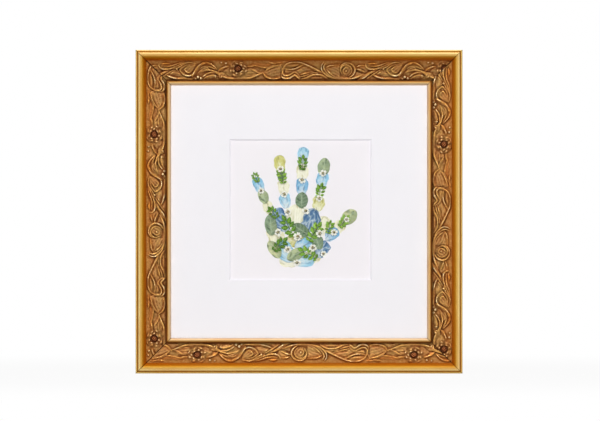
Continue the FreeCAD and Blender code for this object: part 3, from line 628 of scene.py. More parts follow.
def ornamentMap():
    # relief, crevice level for patina, painted shade and painted highlight, orange glaze with painted
    # reflection, and flower mask over one repeat
    fine, margin, steps = ornament["samples"], ornament["margin"], ornament["repeatSteps"]
    firstRow, lastRow = ornament["rows"]
    alongLine = np.arange(-margin * fine, (steps + margin) * fine) / fine
    inwardLine = np.arange(firstRow * fine, lastRow * fine + 1) / fine
    x, y = np.meshgrid(alongLine, inwardLine, indexing="ij")
    relief, glazeAndReflection, mask = np.zeros((3,) + x.shape)

    def window(points, reach):
        # the part of the map that a form can touch, or None beyond its ends
        low, high = np.min(points, axis=0), np.max(points, axis=0)
        if high[0] < -margin or low[0] > steps + margin:
            return None
        corner = np.array((-margin, firstRow))
        first, last = (low - reach - corner) * fine, (high + reach - corner) * fine
        return tuple(slice(max(int(a), 0), int(b) + 1) for a, b in zip(first, last))

    for shift in (0, -steps, steps):
        for height, tone, outline in ornamentLeaves:
            outline = curveThrough(outline + [outline[0]], 4)[:-1] + (shift, 0)
            part = window(outline, 1)
            if part:
                body, depth = leafBody(x[part], y[part], outline, height)
                relief[part] = np.maximum(relief[part], body)
                glazeAndReflection[part] = np.maximum(glazeAndReflection[part], tone * np.clip(depth / 0.8, 0, 1))
    for shift in (0, -steps, steps):
        for half, height, tone, points in ornamentLines:
            line = curveThrough(points, 5) + (shift, 0)
            part = window(line, 4)
            if part:
                crest, groove, under = rolledLine(x[part], y[part], line, half, height, points[0])
                relief[part] = np.maximum(relief[part] - groove, crest)
                glazeAndReflection[part] = np.where(under, tone, glazeAndReflection[part])
    for (beadX, beadY), radius, height in ornamentBeads:
        for shift in (0, -steps, steps):
            across = np.hypot(x - beadX - shift, y - beadY) / radius
            groove = ornamentCut["beadGroove"] * np.exp(-((across - 1.3) / 0.4) ** 2)
            relief = np.maximum(relief - groove, height * np.sqrt(np.clip(1 - across ** 2, 0, 1)))
    centreX, centreY = ornamentFlower["centre"]
    flowerY = (y - centreY) * ornamentFlower["stretch"]
    for shift in (0, steps):
        relief, mask, inFlower = setFlower(x - centreX - shift, flowerY, relief, mask)
        glazeAndReflection = glazeAndReflection * (1 - inFlower)
    # slight unevenness of the cast
    reliefSoft, glazeAndReflectionSoft, roughSoft, waveSoft, groundSoft = ornament["soften"]
    rough = softened(np.random.default_rng(7).random(x.shape) - 0.5, roughSoft)
    waves = softened(rough, waveSoft)
    relief = softened(relief, reliefSoft) + rough * ornamentCut["rough"] + waves * ornamentCut["waves"]
    level = relief - softened(relief, groundSoft)
    core = slice(margin * fine, (margin + steps) * fine)
    return [layer[core] for layer in (relief, level, softened(glazeAndReflection, glazeAndReflectionSoft), mask)]


def sampleMap(layer, along, inward):
    # along and inward in steps; the repeat runs round
    fine = ornament["samples"]
    x = (along % ornament["repeatSteps"]) * fine
    y = np.clip((inward - ornament["rows"][0]) * fine, 0, layer.shape[1] - 1.001)
    x0 = np.floor(x).astype(int) % layer.shape[0]
    y0 = np.floor(y).astype(int)
    x1 = (x0 + 1) % layer.shape[0]
    fx, fy = x - np.floor(x), y - y0
    return ((layer[x0, y0] * (1 - fx) + layer[x1, y0] * fx) * (1 - fy)
            + (layer[x0, y0 + 1] * (1 - fx) + layer[x1, y0 + 1] * fx) * fy)


def pressedOrnament(tree):
    place = placeOn(tree)
    carve = placeOn(tree, "carve")
    seam = amountOn(tree, "seam")
    level, glazeAndReflection, flower = carve.part(0), carve.part(1), carve.part(2)
    mottle = place.scaled(0.16, 0.28, 0.28).noise(1.0, 4.0)
    grit = place.noise(1.5, 4.0, 0.7)
    hue = place.scaled(0.11, 0.2, 0.2).noise(1.0, 3.0)
    # the level ramp paints the crevices dark, as patina and painted shade, and the crests pale, up to a
    # painted highlight
    shade = level + (grit - 0.5) * 0.34 + (mottle - 0.5) * 0.2
    colour = shade.ramp((0.0, (40, 18, 4)), (0.22, (78, 38, 12)), (0.4, (130, 82, 38)),
                        (0.5, (160, 116, 70)), (0.64, (182, 128, 64)), (0.82, (222, 170, 90)),
                        (1.0, (255, 232, 180)))
    colour = (hue.step(0.46, 0.66) * 0.35).blend(colour, (158, 98, 50))
    colour = ((1 - hue.step(0.36, 0.52)) * 0.4).blend(colour, (170, 132, 72))
    # painted shade and painted reflection of the outer bead: a warmer, deeper tone near it
    colour = ((1 - place.part(1).step(8.5, 15.5)) * 0.4).blend(colour, (162, 98, 34))
    # orange glaze, partly painted reflection of the outer bead: deep orange in the hollows, bright orange on
    # the raised parts
    colour = (glazeAndReflection * 0.85).blend(colour, (level + (mottle - 0.5) * 0.4).ramp(
        (0.15, (98, 44, 8)), (0.62, (164, 84, 18)), (1.0, (230, 156, 60))))
    # the dome's grains: dark red-brown, paler on the raised grains as painted highlight
    seeds = (level + (grit - 0.5) * 1.2).step(0.45, 1.15).blend((70, 28, 12), (200, 112, 60))
    colour = (flower * 0.95).blend(colour, seeds)
    colour = ((1 - seam.step(0.05, 0.45)) * 0.8).blend(colour, gilding["seam"])
    return {"Base Color": colour, "Metallic": 0.52 - flower * 0.2,
            "Roughness": 0.5 - level * 0.3 + grit * 0.16,
            "Specular IOR Level": 0.3, "Specular Tint": (1.0, 0.75, 0.45, 1.0),
            "Normal": (grit * 0.7 + mottle * 0.3).bump(0.00014, 0.8)}


ornamentMaterial = newFinish("pressedOrnament", pressedOrnament)
ornamentLayers = ornamentMap()


def buildOrnament(side):
    shape = ornament
    outer, inner = shape["outer"], shape["inner"]
    length = sideLength(side)
    rows = int((inner - outer) / shape["meshStep"]) + 1
    columns = int((length - 2 * outer) / shape["meshStep"]) + 1
    inward = np.repeat(np.linspace(outer, inner, rows)[None, :], columns, 0)
    along = np.linspace(-1, 1, columns)[:, None] * (length / 2 - inward)
    seam = (length / 2 - inward - np.abs(along)) / math.sqrt(2)
    stepsAlong = (shape["start"][side] - along) / shape["repeat"][side] * shape["repeatSteps"]
    stepsIn = inward / shape["stepSize"]
    relief, level, glazeAndReflection, flower = [sampleMap(layer, stepsAlong, stepsIn) for layer in ornamentLayers]
    ground = np.interp(inward, *np.transpose(shape["ground"]))
    (inWidth, least), (outWidth, outFrom) = shape["fadeIn"], shape["fadeOut"]
    fade = np.clip((inward - outer) / inWidth, least, 1) * np.clip((outFrom - inward) / outWidth, 0, 1)
    groove = shape["seamDepth"] * np.clip(1 - seam / shape["seamWidth"], 0, 1)
    (_, bedOuter), (_, bedInner) = moulding["bed"]
    bed = bedOuter + (bedInner - bedOuter) * (inward - outer) / (inner - outer)
    top = np.maximum(ground + relief * shape["relief"] * fade - groove, bed + 0.05)
    middle, gain = shape["patinaShadeAndHighlight"]
    sightFrom, sightWidth, sightLoss = shape["sightBeadShade"]
    cornerFrom, cornerWidth, cornerLoss = shape["outerBeadShade"]
    # painted shade: the level drops beside the sight bead and at the foot of the outer bead
    level = (middle + level * gain - sightLoss * np.clip((inward - sightFrom) / sightWidth, 0, 1)
             - cornerLoss * np.clip((cornerFrom - inward) / cornerWidth, 0, 1))
    topPoints = np.stack(onSide(side, along, inward, top), -1).reshape(-1, 3)
    ends = [0, rows - 1]
    underPoints = np.stack(onSide(side, along[:, ends], inward[:, ends], bed[:, ends]), -1).reshape(-1, 3)
    column, row = np.meshgrid(np.arange(columns - 1), np.arange(rows - 1), indexing="ij")
    first = (column * rows + row).ravel()
    faces = np.stack([first, first + rows, first + rows + 1, first + 1], -1).tolist()
    count = rows * columns
    for k in range(columns - 1):
        lowOuter, lowInner = count + 2 * k, count + 2 * k + 1
        faces.append([k * rows, lowOuter, lowOuter + 2, (k + 1) * rows])
        faces.append([k * rows + rows - 1, (k + 1) * rows + rows - 1, lowInner + 2, lowInner])
        faces.append([lowOuter, lowInner, lowInner + 2, lowOuter + 2])
    for k, low in ((0, count), (columns - 1, count + 2 * (columns - 1))):
        edge = [k * rows + r for r in range(rows)] + [low + 1, low]
        faces.append(edge if k == 0 else edge[::-1])
    place = np.stack([along + sideShift * sideNames.index(side), inward, top], -1).reshape(-1, 3)
    carve = np.stack([level, glazeAndReflection, flower], -1).reshape(-1, 3)
    under = np.zeros((2 * columns, 3))
    attributes = {"place": np.vstack([place, under]), "carve": np.vstack([carve, under]),
                  "seam": np.append(seam.ravel(), np.full(2 * columns, 5.0))}
    strip = addMesh(f"ornament{side.capitalize()}", np.vstack([topPoints, underPoints]), faces,
                    [ornamentMaterial], None, attributes, 60)
    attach(strip, "frame")
    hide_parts(f"ornament_{side}")


for side in sideNames:
    buildOrnament(side)
print("ornament strips done")

# Boards, glass and fittings keep their solids and get their finishes here


def twoTone(fine, tones, roughness, bump, slow=None, step=None, **sockets):
    # fine noise gives the bump and may break up the gloss; it or a slow noise mixes the tones
    def recipe(tree):
        place = objectPlace(tree)
        tooth = place.noise(*fine)
        cloud = place.noise(*slow) if slow else tooth
        cloud = cloud.step(*step) if step else cloud
        gloss = roughness[0] + tooth * roughness[1] if len(roughness) > 1 else roughness[0]
        return {"Base Color": cloud.blend(*tones), "Roughness": gloss, "Normal": tooth.bump(*bump), **sockets}
    return recipe


def whiteBoard(tree):
    # the face, and the paler cut edge of the window
    place = objectPlace(tree)
    tooth = place.noise(3.5, 4.0, 0.7)
    cloud = place.noise(0.05, 3.0)
    slope = Value.make(tree, "NewGeometry", None, None, "True Normal").part(1).size()
    face = cloud.blend((243, 240, 244), (240, 237, 241))
    colour = slope.step(0.8, 0.95).blend((246, 242, 248), face)
    return {"Base Color": colour, "Roughness": 0.85, "Specular IOR Level": 0.25,
            "Normal": tooth.bump(0.00005, 0.35)}


def hardboard(tree):
    place = objectPlace(tree)
    fibre = place.scaled(1.0, 1.0, 0.6).noise(1.1, 6.0, 0.75)
    cloud = place.noise(0.03, 4.0)
    fleck = place.cells(0.9).step(0.05, 0.3)
    colour = fibre.step(0.3, 0.75).blend((160, 116, 76), (110, 72, 44))
    colour = (cloud.step(0.35, 0.7) * 0.5).blend(colour, (156, 118, 82))
    colour = ((1 - fleck) * 0.35).blend(colour, (186, 148, 104))
    return {"Base Color": colour, "Roughness": 0.55 + fibre * 0.25,
            "Normal": (fibre + cloud * 0.3).bump(0.00015, 0.5)}


def platedSteel(tree):
    place = objectPlace(tree)
    brushed = place.scaled(0.5, 0.5, 6.0).noise(1.0, 3.0)
    cloud = place.noise(0.25, 4.0)
    colour = cloud.step(0.3, 0.7).blend((214, 196, 142), (190, 178, 150))
    colour = (cloud.step(0.62, 0.72) * 0.3).blend(colour, (176, 150, 150))
    return {"Base Color": colour, "Metallic": 1.0, "Roughness": 0.26 + brushed * 0.2,
            "Normal": brushed.bump(0.00003, 0.4)}


def pictureGlass(tree):
    # clear sheet: what is behind shows, with a faint surface gloss
    wipe = objectPlace(tree).noise(0.02, 2.0)
    clear = Value.make(tree, "BsdfTransparent", None, {"Color": (0.985, 0.99, 0.988, 1.0)})
    gloss = Value.make(tree, "BsdfPrincipled", None, {
        "Base Color": wipe.blend((250, 252, 252), (244, 248, 248)), "Roughness": 0.03 + wipe * 0.03,
        "Metallic": 1.0})
    sheen = Value.make(tree, "Fresnel", None, {"IOR": 1.3}) * 0.25
    return Value.make(tree, "MixShader", None, {0: sheen, 1: clear, 2: gloss})


metal = {"Metallic": 1.0}
# finish: (recipe, the nodes that wear it)
fittingFinishes = {
    "artPaper": (twoTone((1.6, 5.0, 0.75), ((244, 239, 242), (241, 236, 240)), (0.9,), (0.0001, 0.4),
                         slow=(0.04, 3.0), **{"Specular IOR Level": 0.2}), ["art_board"]),
    "greyBoard": (twoTone((1.8, 5.0, 0.7), ((176, 170, 160), (140, 134, 124)), (0.9,), (0.0001, 0.4)),
                  ["filler_board"]),
    "hardboard": (hardboard, ["back_panel"]),
    "nailSteel": (twoTone((1.5, 4.0), ((168, 168, 172), (122, 118, 114)), (0.35, 0.25), (0.00004, 0.4),
                          step=(0.4, 0.7), **metal), ["corner_v_nails"]),
    "platedSteel": (platedSteel, [f"turn_button_{side}" for side in sideNames] + [
        "turn_button_screws", "hanger_screws", "hanger_strap_left", "hanger_strap_right"]),
    "nickelWire": (twoTone((2.5, 3.0), ((206, 202, 194), (182, 178, 172)), (0.18, 0.16), (0.00003, 0.4),
                           slow=(0.4, 3.0), **metal), ["d_ring_left", "d_ring_right"]),
    "pictureGlass": (pictureGlass, ["glass_pane"]),
}
for name, (recipe, nodes) in fittingFinishes.items():
    material = newFinish(name, recipe)
    for node in nodes:
        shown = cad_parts[node].data.materials
        shown.clear()
        shown.append(material)

windowMat = {
    "low": (-101.6, 20.8), "high": (101.6, 224.0), "front": 8.46, "back": 7.12,
    "windowMiddle": (1.0, 123.9), "windowSize": (105.2, 104.4),
}


def buildWindowMat():
    # a ring of board; the window's edge is cut back at 45 degrees, so it is wider in front
    front, back = windowMat["front"], windowMat["back"]
    (midX, midZ), (wide, high) = windowMat["windowMiddle"], windowMat["windowSize"]
    points = []
    for grow, height in ((front - back, front), (0.0, back), (None, back), (None, front)):
        (lowX, lowZ), (highX, highZ) = windowMat["low"], windowMat["high"]
        if grow is not None:
            halfX, halfZ = wide / 2 + grow, high / 2 + grow
            lowX, lowZ, highX, highZ = midX - halfX, midZ - halfZ, midX + halfX, midZ + halfZ
        corners = ((lowX, lowZ), (highX, lowZ), (highX, highZ), (lowX, highZ))
        points += [inFront(x, z, height) for x, z in corners]
    faces = []
    for ring in range(4):
        after = (ring + 1) % 4
        for k in range(4):
            n = (k + 1) % 4
            faces.append((4 * ring + k, 4 * ring + n, 4 * after + n, 4 * after + k))
    board = addMesh("windowMatBoard", points, faces, [newFinish("whiteBoard", whiteBoard)], sharpAngle=None)
    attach(board, "frame")
    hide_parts("window_mat")


buildWindowMat()
print("boards, glass and fittings done")

# Wall bumpers: soft domed discs

bumper = {"radius": 5.0, "thickness": 2.2, "in": 11.0, "round": 0.8, "roundSteps": 5, "turnSteps": 48}


def buildBumpers():
    radius, thickness, rounding = bumper["radius"], bumper["thickness"], bumper["round"]
    profile = [(radius, 0.0), (radius, thickness - rounding)]
    for k in range(bumper["roundSteps"]):
        angle = math.radians(90 / bumper["roundSteps"] * (k + 1))
        inward, down = rounding * (1 - math.cos(angle)), rounding * (1 - math.sin(angle))
        profile.append((radius - inward, thickness - down))
    profile.append((radius * 0.5, thickness))
    steps = bumper["turnSteps"]
    points, faces = [], []
    for way in (-1, 1):
        start = len(points)
        centreX = way * (frameSizes["width"] / 2 - bumper["in"])
        for away, out in profile:
            for k in range(steps):
                angle = 2 * math.pi * k / steps
                x, z = centreX + away * math.cos(angle), bumper["in"] + away * math.sin(angle)
                points.append(inFront(x, z, -out))
        faces += cappedRings(start, len(profile) - 1, steps)
    rubber = twoTone((2.2, 4.0, 0.7), ((44, 41, 39), (66, 62, 58)), (0.75, 0.15), (0.00012, 0.6))
    discs = addMesh("wallBumperDiscs", points, faces, [newFinish("bumperRubber", rubber)])
    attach(discs, "frame")
    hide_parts("wall_bumpers")


buildBumpers()

# The pressed hand: thin petals and leaves in six layers on the art board; places are shares of the hand,
# (across, up, half length, half width, lean in degrees, tone from 0 to 1)

hand = {
    "width": 82.0, "height": 92.0, "right": 1.0, "up": 1.5, "boardHeight": 7.1, "layer": 0.22, "sheet": 0.1,
    "bend": (-0.08, 0.08),
}
creamPetals = [
    (-0.295, 0.013, 0.061, 0.047, -25, 0.3), (-0.154, 0.180, 0.070, 0.054, -8, 0.1),
    (-0.190, 0.376, 0.072, 0.055, -8, 0.75), (0.018, 0.300, 0.072, 0.058, 1, 0.15),
    (0.166, 0.046, 0.067, 0.059, 10, 0.6), (0.349, -0.148, 0.067, 0.057, 45, 0.2),
    (-0.037, -0.060, 0.104, 0.089, 4, 0.05), (-0.226, -0.228, 0.111, 0.080, -10, 0.25),
    (-0.030, -0.250, 0.091, 0.076, 86, 0.95), (0.195, -0.141, 0.091, 0.072, 28, 0.1),
    (0.134, -0.364, 0.102, 0.078, 48, 0.35), (-0.110, -0.424, 0.080, 0.061, -72, 0.0),
]
bluePetals = [
    (-0.383, 0.200, 0.074, 0.050, -25, 0.3), (-0.141, 0.072, 0.067, 0.054, -8, 0.15),
    (0.015, 0.189, 0.074, 0.058, 1, 0.45), (0.024, 0.450, 0.067, 0.054, 1, 0.1),
    (0.200, 0.243, 0.074, 0.057, 10, 0.25), (0.288, -0.204, 0.067, 0.057, 45, 0.5),
    (-0.183, -0.092, 0.104, 0.080, -30, 0.85), (0.091, -0.098, 0.107, 0.085, 24, 0.95),
    (-0.140, -0.348, 0.109, 0.083, -46, 0.2), (0.032, -0.289, 0.078, 0.065, 76, 0.35),
    (0.202, -0.328, 0.076, 0.061, 26, 0.9), (0.037, -0.424, 0.083, 0.059, 80, 0.1),
]
crumpledBlue = (6, 7, 10)
sageLeaves = [
    (-0.341, 0.109, 0.063, 0.042, -25, 0.2), (0.012, 0.078, 0.067, 0.052, 1, 0.7),
    (0.217, 0.352, 0.076, 0.051, 10, 0.4), (0.451, -0.059, 0.076, 0.057, 45, 0.15),
    (-0.173, 0.283, 0.050, 0.037, -8, 0.9), (-0.274, -0.125, 0.089, 0.050, -6, 0.5),
    (0.006, -0.168, 0.083, 0.048, -58, 0.8), (-0.238, -0.326, 0.083, 0.048, -34, 0.1),
    (0.152, -0.250, 0.083, 0.050, -18, 0.6), (-0.043, -0.370, 0.080, 0.048, 60, 0.3),
]
greenLeaves = [
    (-0.410, 0.263, 0.050, 0.034, -25, 0.4), (-0.171, 0.276, 0.078, 0.044, -12, 0.2),
    (0.022, 0.380, 0.072, 0.044, 4, 0.8), (0.183, 0.146, 0.076, 0.044, 14, 0.5),
    (0.400, -0.102, 0.070, 0.044, 40, 0.1), (-0.104, -0.147, 0.113, 0.052, -28, 0.6),
    (0.128, -0.190, 0.107, 0.049, 34, 0.3), (-0.193, -0.291, 0.089, 0.046, 46, 0.9),
    (0.079, -0.364, 0.098, 0.049, -62, 0.5), (-0.250, -0.027, 0.070, 0.040, -40, 0.7),
    (0.268, -0.147, 0.065, 0.038, 12, 0.2),
]
blossoms = [
    (-0.363, 0.157, 0.029), (-0.149, 0.128, 0.033), (-0.185, 0.337, 0.030), (0.017, 0.246, 0.034),
    (0.176, 0.093, 0.032), (0.210, 0.300, 0.032), (0.312, -0.185, 0.033), (0.427, -0.080, 0.028),
    (-0.116, -0.017, 0.037), (0.049, -0.009, 0.035), (-0.024, -0.222, 0.040), (0.180, -0.198, 0.037),
    (-0.205, -0.187, 0.037), (-0.116, -0.328, 0.038), (0.115, -0.313, 0.037), (-0.032, -0.437, 0.033),
    (0.215, -0.363, 0.030),
]


def petalWidth(v):
    # round shoulders, a narrower foot
    return (1 - abs(v) ** 2.6) ** 0.5 * (0.84 + 0.16 * v)


def ovalWidth(v):
    return max(1 - abs(v) ** 2.1, 0) ** 0.6


def leafletWidth(v):
    # pointed at both ends, widest below the middle, with small teeth
    teeth = 1 + 0.13 * abs(math.sin(v * 11))
    return max(1 - abs(v) ** 1.7, 0) * (1 - 0.22 * v) * teeth


# notch and ruffle shape the rim; folds run from the foot; crease crosses them; sharp turns waves into ridges;
# curl lifts the sides
pieceKinds = {
    "cream": {"width": petalWidth, "notch": 0.12, "ruffle": 0.06, "folds": 2.6, "crease": 0.6, "sharp": 0.6,
              "foldDepth": 0.12, "curl": 0.03, "steps": (48, 34)},
    "blue": {"width": petalWidth, "notch": 0.1, "ruffle": 0.05, "folds": 3.0, "crease": 0.5, "sharp": 0.5,
             "foldDepth": 0.12, "curl": 0.03, "steps": (48, 34)},
    "crumpled": {"width": petalWidth, "notch": 0.24, "ruffle": 0.12, "folds": 3.0, "crease": 1.2,
                 "sharp": 0.9, "foldDepth": 0.32, "curl": 0.0, "steps": (90, 70)},
    "sage": {"width": ovalWidth, "notch": 0.0, "ruffle": 0.02, "folds": 1.2, "crease": 0.4, "sharp": 0.2,
             "foldDepth": 0.06, "curl": 0.04, "steps": (44, 20)},
    "leaflet": {"width": leafletWidth, "notch": 0.0, "ruffle": 0.03, "folds": 0.9, "crease": 0.3,
                "sharp": 0.0, "foldDepth": 0.1, "curl": 0.06, "steps": (26, 8)},
}
# the folds' waves: (strength, pitch over the width, stray and its pitch along the piece, phase)
foldWaves = ((1.0, 2, 1.2, 2.6, 3), (0.6, 4.3, 2.1, 3.7, 5))
# a sprig, in shares of its size; the pairs are the bounds of what chance changes
sprig = {
    # leaflets: (place along the stalk, side, half length, lean)
    "leaflets": [
        (0.78, 0.0, 0.3, 0), (0.5, -0.52, 0.3, -48), (0.5, 0.52, 0.3, 48), (0.12, -0.58, 0.3, -58),
        (0.12, 0.58, 0.3, 58), (-0.28, -0.52, 0.27, -64), (-0.28, 0.52, 0.27, 64),
        (-0.62, -0.36, 0.22, -70), (-0.62, 0.36, 0.22, 70),
    ],
    "spread": (0.9, 1.1), "slide": (-0.04, 0.04), "growth": (0.9, 1.15), "size": 0.62,
    "slimness": (0.5, 0.62), "sway": (-9, 9), "toneStray": (-0.25, 0.25), "stack": 0.02,
    "stalkFoot": -0.1, "stalkLong": 0.85, "stalkWide": 0.22, "stalkTone": 0.9, "stalkLift": 0.06,
}
blossom = {
    "size": (0.94, 1.04), "petals": 5, "lengths": (0.8, 1.08), "heart": 0.3, "notch": 0.14, "rings": 10,
    "steps": 90,
}
# grains of a blossom's eye; away and grain are shares of the eye's size
eye = {
    "size": 0.4, "grains": 8, "away": (0.55, 1.0), "grain": (0.22, 0.36), "thick": 0.1, "rings": 5,
    "steps": 10,
}
anyTurn = (0, 6.3)


def placeInHand(shares):
    return (hand["right"] + shares[0] * hand["width"],
            frameSizes["height"] / 2 + hand["up"] + shares[1] * hand["height"])


def onPiece(centre, x, z, turn):
    # x across and z along a piece that leans by turn
    return (centre[0] + x * math.cos(turn) + z * math.sin(turn),
            centre[1] - x * math.sin(turn) + z * math.cos(turn))


def withUnderside(top, faces, own):
    # doubles a sheet of points and closes its rim
    half = len(top)
    under = [(x, y + hand["sheet"] * mm, z) for x, y, z in top]
    edges = {(a, b) for face in faces for a, b in zip(face, face[1:] + face[:1])}
    rim = [(a, b) for a, b in edges if (b, a) not in edges]
    closed = list(faces) + [tuple(half + k for k in reversed(face)) for face in faces]
    closed += [(b, a, half + a, half + b) for a, b in sorted(rim)]
    return top + under, closed, own + own


def joined(pieces):
    points, faces, own = [], [], []
    for somePoints, someFaces, someOwn in pieces:
        start = len(points)
        points += somePoints
        faces += [tuple(start + k for k in face) for face in someFaces]
        own += someOwn
    return points, faces, own


def flatSheet(centre, sizes, lean, tone, base, kindName, rng):
    # own coordinates of a piece: (foot to tip, side to side, tone), and the height of its folds
    kind = pieceKinds[kindName]
    long, wide = sizes
    turn = math.radians(lean)
    phases = [rng.uniform(*anyTurn) for _ in range(9)]
    bend = rng.uniform(*hand["bend"])
    longSteps, wideSteps = kind["steps"]
    top, own = [], []
    for i in range(longSteps + 1):
        v = -1 + 2 * i / longSteps
        edge = kind["width"](max(min(v, 0.9995), -0.9995)) * wide
        for j in range(wideSteps + 1):
            w = -1 + 2 * j / wideSteps
            side = 3.0 if w < 0 else 0.0
            rim = math.sin(4.3 * v + phases[0] + side) + 0.7 * math.sin(9.1 * v + phases[1] + side)
            x = w * edge * (1 + kind["ruffle"] * rim * abs(w)) + bend * long * v * v
            crown = max(v, 0) ** 2
            z = v * long * (1 - kind["notch"] * crown * math.exp(-(w * 3.2) ** 2)
                            + kind["ruffle"] * crown * 0.6 * math.sin(7 * w + phases[2]))
            fold = 0.0
            for strength, pitch, stray, strayPitch, phase in foldWaves:
                wander = stray * math.sin(strayPitch * v + phases[phase])
                fold += strength * math.sin(kind["folds"] * w * pitch + wander + phases[phase + 1])
            wander = 1.5 * math.sin(3 * w + phases[8])
            fold += kind["crease"] * math.sin(5.4 * v + 4.0 * w + wander + phases[7])
            fold = (fold / (1.6 + kind["crease"]) + 1) / 2
            fold += kind["sharp"] * ((1 - abs(2 * fold - 1)) ** 1.7 - fold)
            lift = kind["foldDepth"] * fold * (0.35 + 0.65 * (v + 1) / 2) + kind["curl"] * abs(w) ** 2
            height = hand["boardHeight"] + base + hand["sheet"] + lift
            top.append(inFront(*onPiece(centre, x, z, turn), height))
            own.append((v, w, tone, fold))
    count = wideSteps + 1
    faces = [(i * count + j, i * count + j + 1, (i + 1) * count + j + 1, (i + 1) * count + j)
             for i in range(longSteps) for j in range(wideSteps)]
    return withUnderside(top, faces, own)


def flatPiece(shares, layer, kindName, seed):
    rng = random.Random(seed)
    sizes = shares[2] * hand["height"], shares[3] * hand["height"]
    return flatSheet(placeInHand(shares), sizes, shares[4], shares[5], layer * hand["layer"], kindName, rng)


def sprigPiece(shares, layer, seed):
    # a stalk with pairs of toothed leaflets
    rng = random.Random(seed)
    long, wide = shares[2] * hand["height"], shares[3] * hand["height"]
    lean, tone = shares[4:]
    turn = math.radians(lean)
    middle = placeInHand(shares)
    base = layer * hand["layer"]
    pieces = []
    for number, (place, side, halfLong, leafLean) in enumerate(sprig["leaflets"]):
        x = side * wide * rng.uniform(*sprig["spread"])
        z = (place + rng.uniform(*sprig["slide"])) * long
        leafLong = halfLong * rng.uniform(*sprig["growth"]) * (long + wide) * sprig["size"]
        sizes = leafLong, leafLong * rng.uniform(*sprig["slimness"])
        leafLean += lean + rng.uniform(*sprig["sway"])
        leafTone = tone + rng.uniform(*sprig["toneStray"])
        height = base + sprig["stack"] * (number % 3)
        leaf = onPiece(middle, x, z, turn)
        pieces.append(flatSheet(leaf, sizes, leafLean, leafTone, height, "leaflet", rng))
    foot = onPiece(middle, 0, sprig["stalkFoot"] * long, turn)
    sizes = long * sprig["stalkLong"], sprig["stalkWide"]
    height = base + sprig["stalkLift"]
    pieces.append(flatSheet(foot, sizes, lean, sprig["stalkTone"], height, "leaflet", rng))
    return joined(pieces)


def blossomPiece(shares, layer, seed):
    # uneven, notched petals round a small eye
    rng = random.Random(seed)
    size = shares[2] * hand["height"] * rng.uniform(*blossom["size"])
    centreX, centreZ = placeInHand(shares)
    twist, tone = rng.uniform(*anyTurn), rng.random()
    petals, heart = blossom["petals"], blossom["heart"]
    lengths = [rng.uniform(*blossom["lengths"]) for _ in range(petals)]
    rings, steps = blossom["rings"], blossom["steps"]
    top, own = [], []
    for i in range(rings + 1):
        r = i / rings
        for k in range(steps):
            angle = 2 * math.pi * k / steps
            petal = (angle - twist) / (2 * math.pi) * petals
            away = (petal - round(petal)) * 2
            lobe = max(1 - abs(away) ** 2.2, 0)
            notch = blossom["notch"] * math.exp(-(away * 4.2) ** 2)
            edge = size * (heart + (1 - heart) * lobe ** 0.42 * lengths[round(petal) % petals] - notch)
            lift = r * (0.12 * lobe + 0.09 * math.sin(3 * away + round(petal) * 1.7) * r) + 0.05 * r * r
            height = hand["boardHeight"] + layer * hand["layer"] + hand["sheet"] + lift
            x, z = centreX + edge * r * math.sin(angle), centreZ + edge * r * math.cos(angle)
            top.append(inFront(x, z, height))
            own.append((r, lobe, tone, 0.5 + 0.5 * math.cos(away * 9)))
    faces = [(a, b, d, c) for a, c, d, b in ringFaces(0, rings, steps)]
    return withUnderside(top, faces, own)


def eyePiece(shares, layer, seed):
    # a tuft of small grains
    rng = random.Random(seed)
    size = shares[2] * hand["height"] * eye["size"]
    centreX, centreZ = placeInHand(shares)
    base = hand["boardHeight"] + layer * hand["layer"]
    rings, steps, thick = eye["rings"], eye["steps"], eye["thick"]
    points, faces, own = [], [], []
    for grain in range(eye["grains"]):
        angle = grain * 0.9 + rng.random() * 0.5
        away = 0.0 if grain == 0 else size * rng.uniform(*eye["away"])
        wide = size * rng.uniform(*eye["grain"])
        x0, z0 = centreX + away * math.cos(angle), centreZ + away * math.sin(angle)
        start = len(points)
        for i in range(1, rings + 1):
            polar = math.pi * i / (rings + 1)
            out = wide * math.sin(polar)
            for k in range(steps):
                turn = 2 * math.pi * k / steps
                x, z = x0 + out * math.cos(turn), z0 + out * math.sin(turn)
                points.append(inFront(x, z, base + thick + thick * math.cos(polar)))
                own.append((grain / eye["grains"], math.cos(polar), rng.random(), 0.5))
        faces += cappedRings(start, rings - 1, steps)
    return points, faces, own


def pieceSockets(tree):
    # a piece's own coordinates and the height of its folds
    own = placeOn(tree, "own")
    return own.part(0), own.part(1), own.part(2), amountOn(tree, "fold")


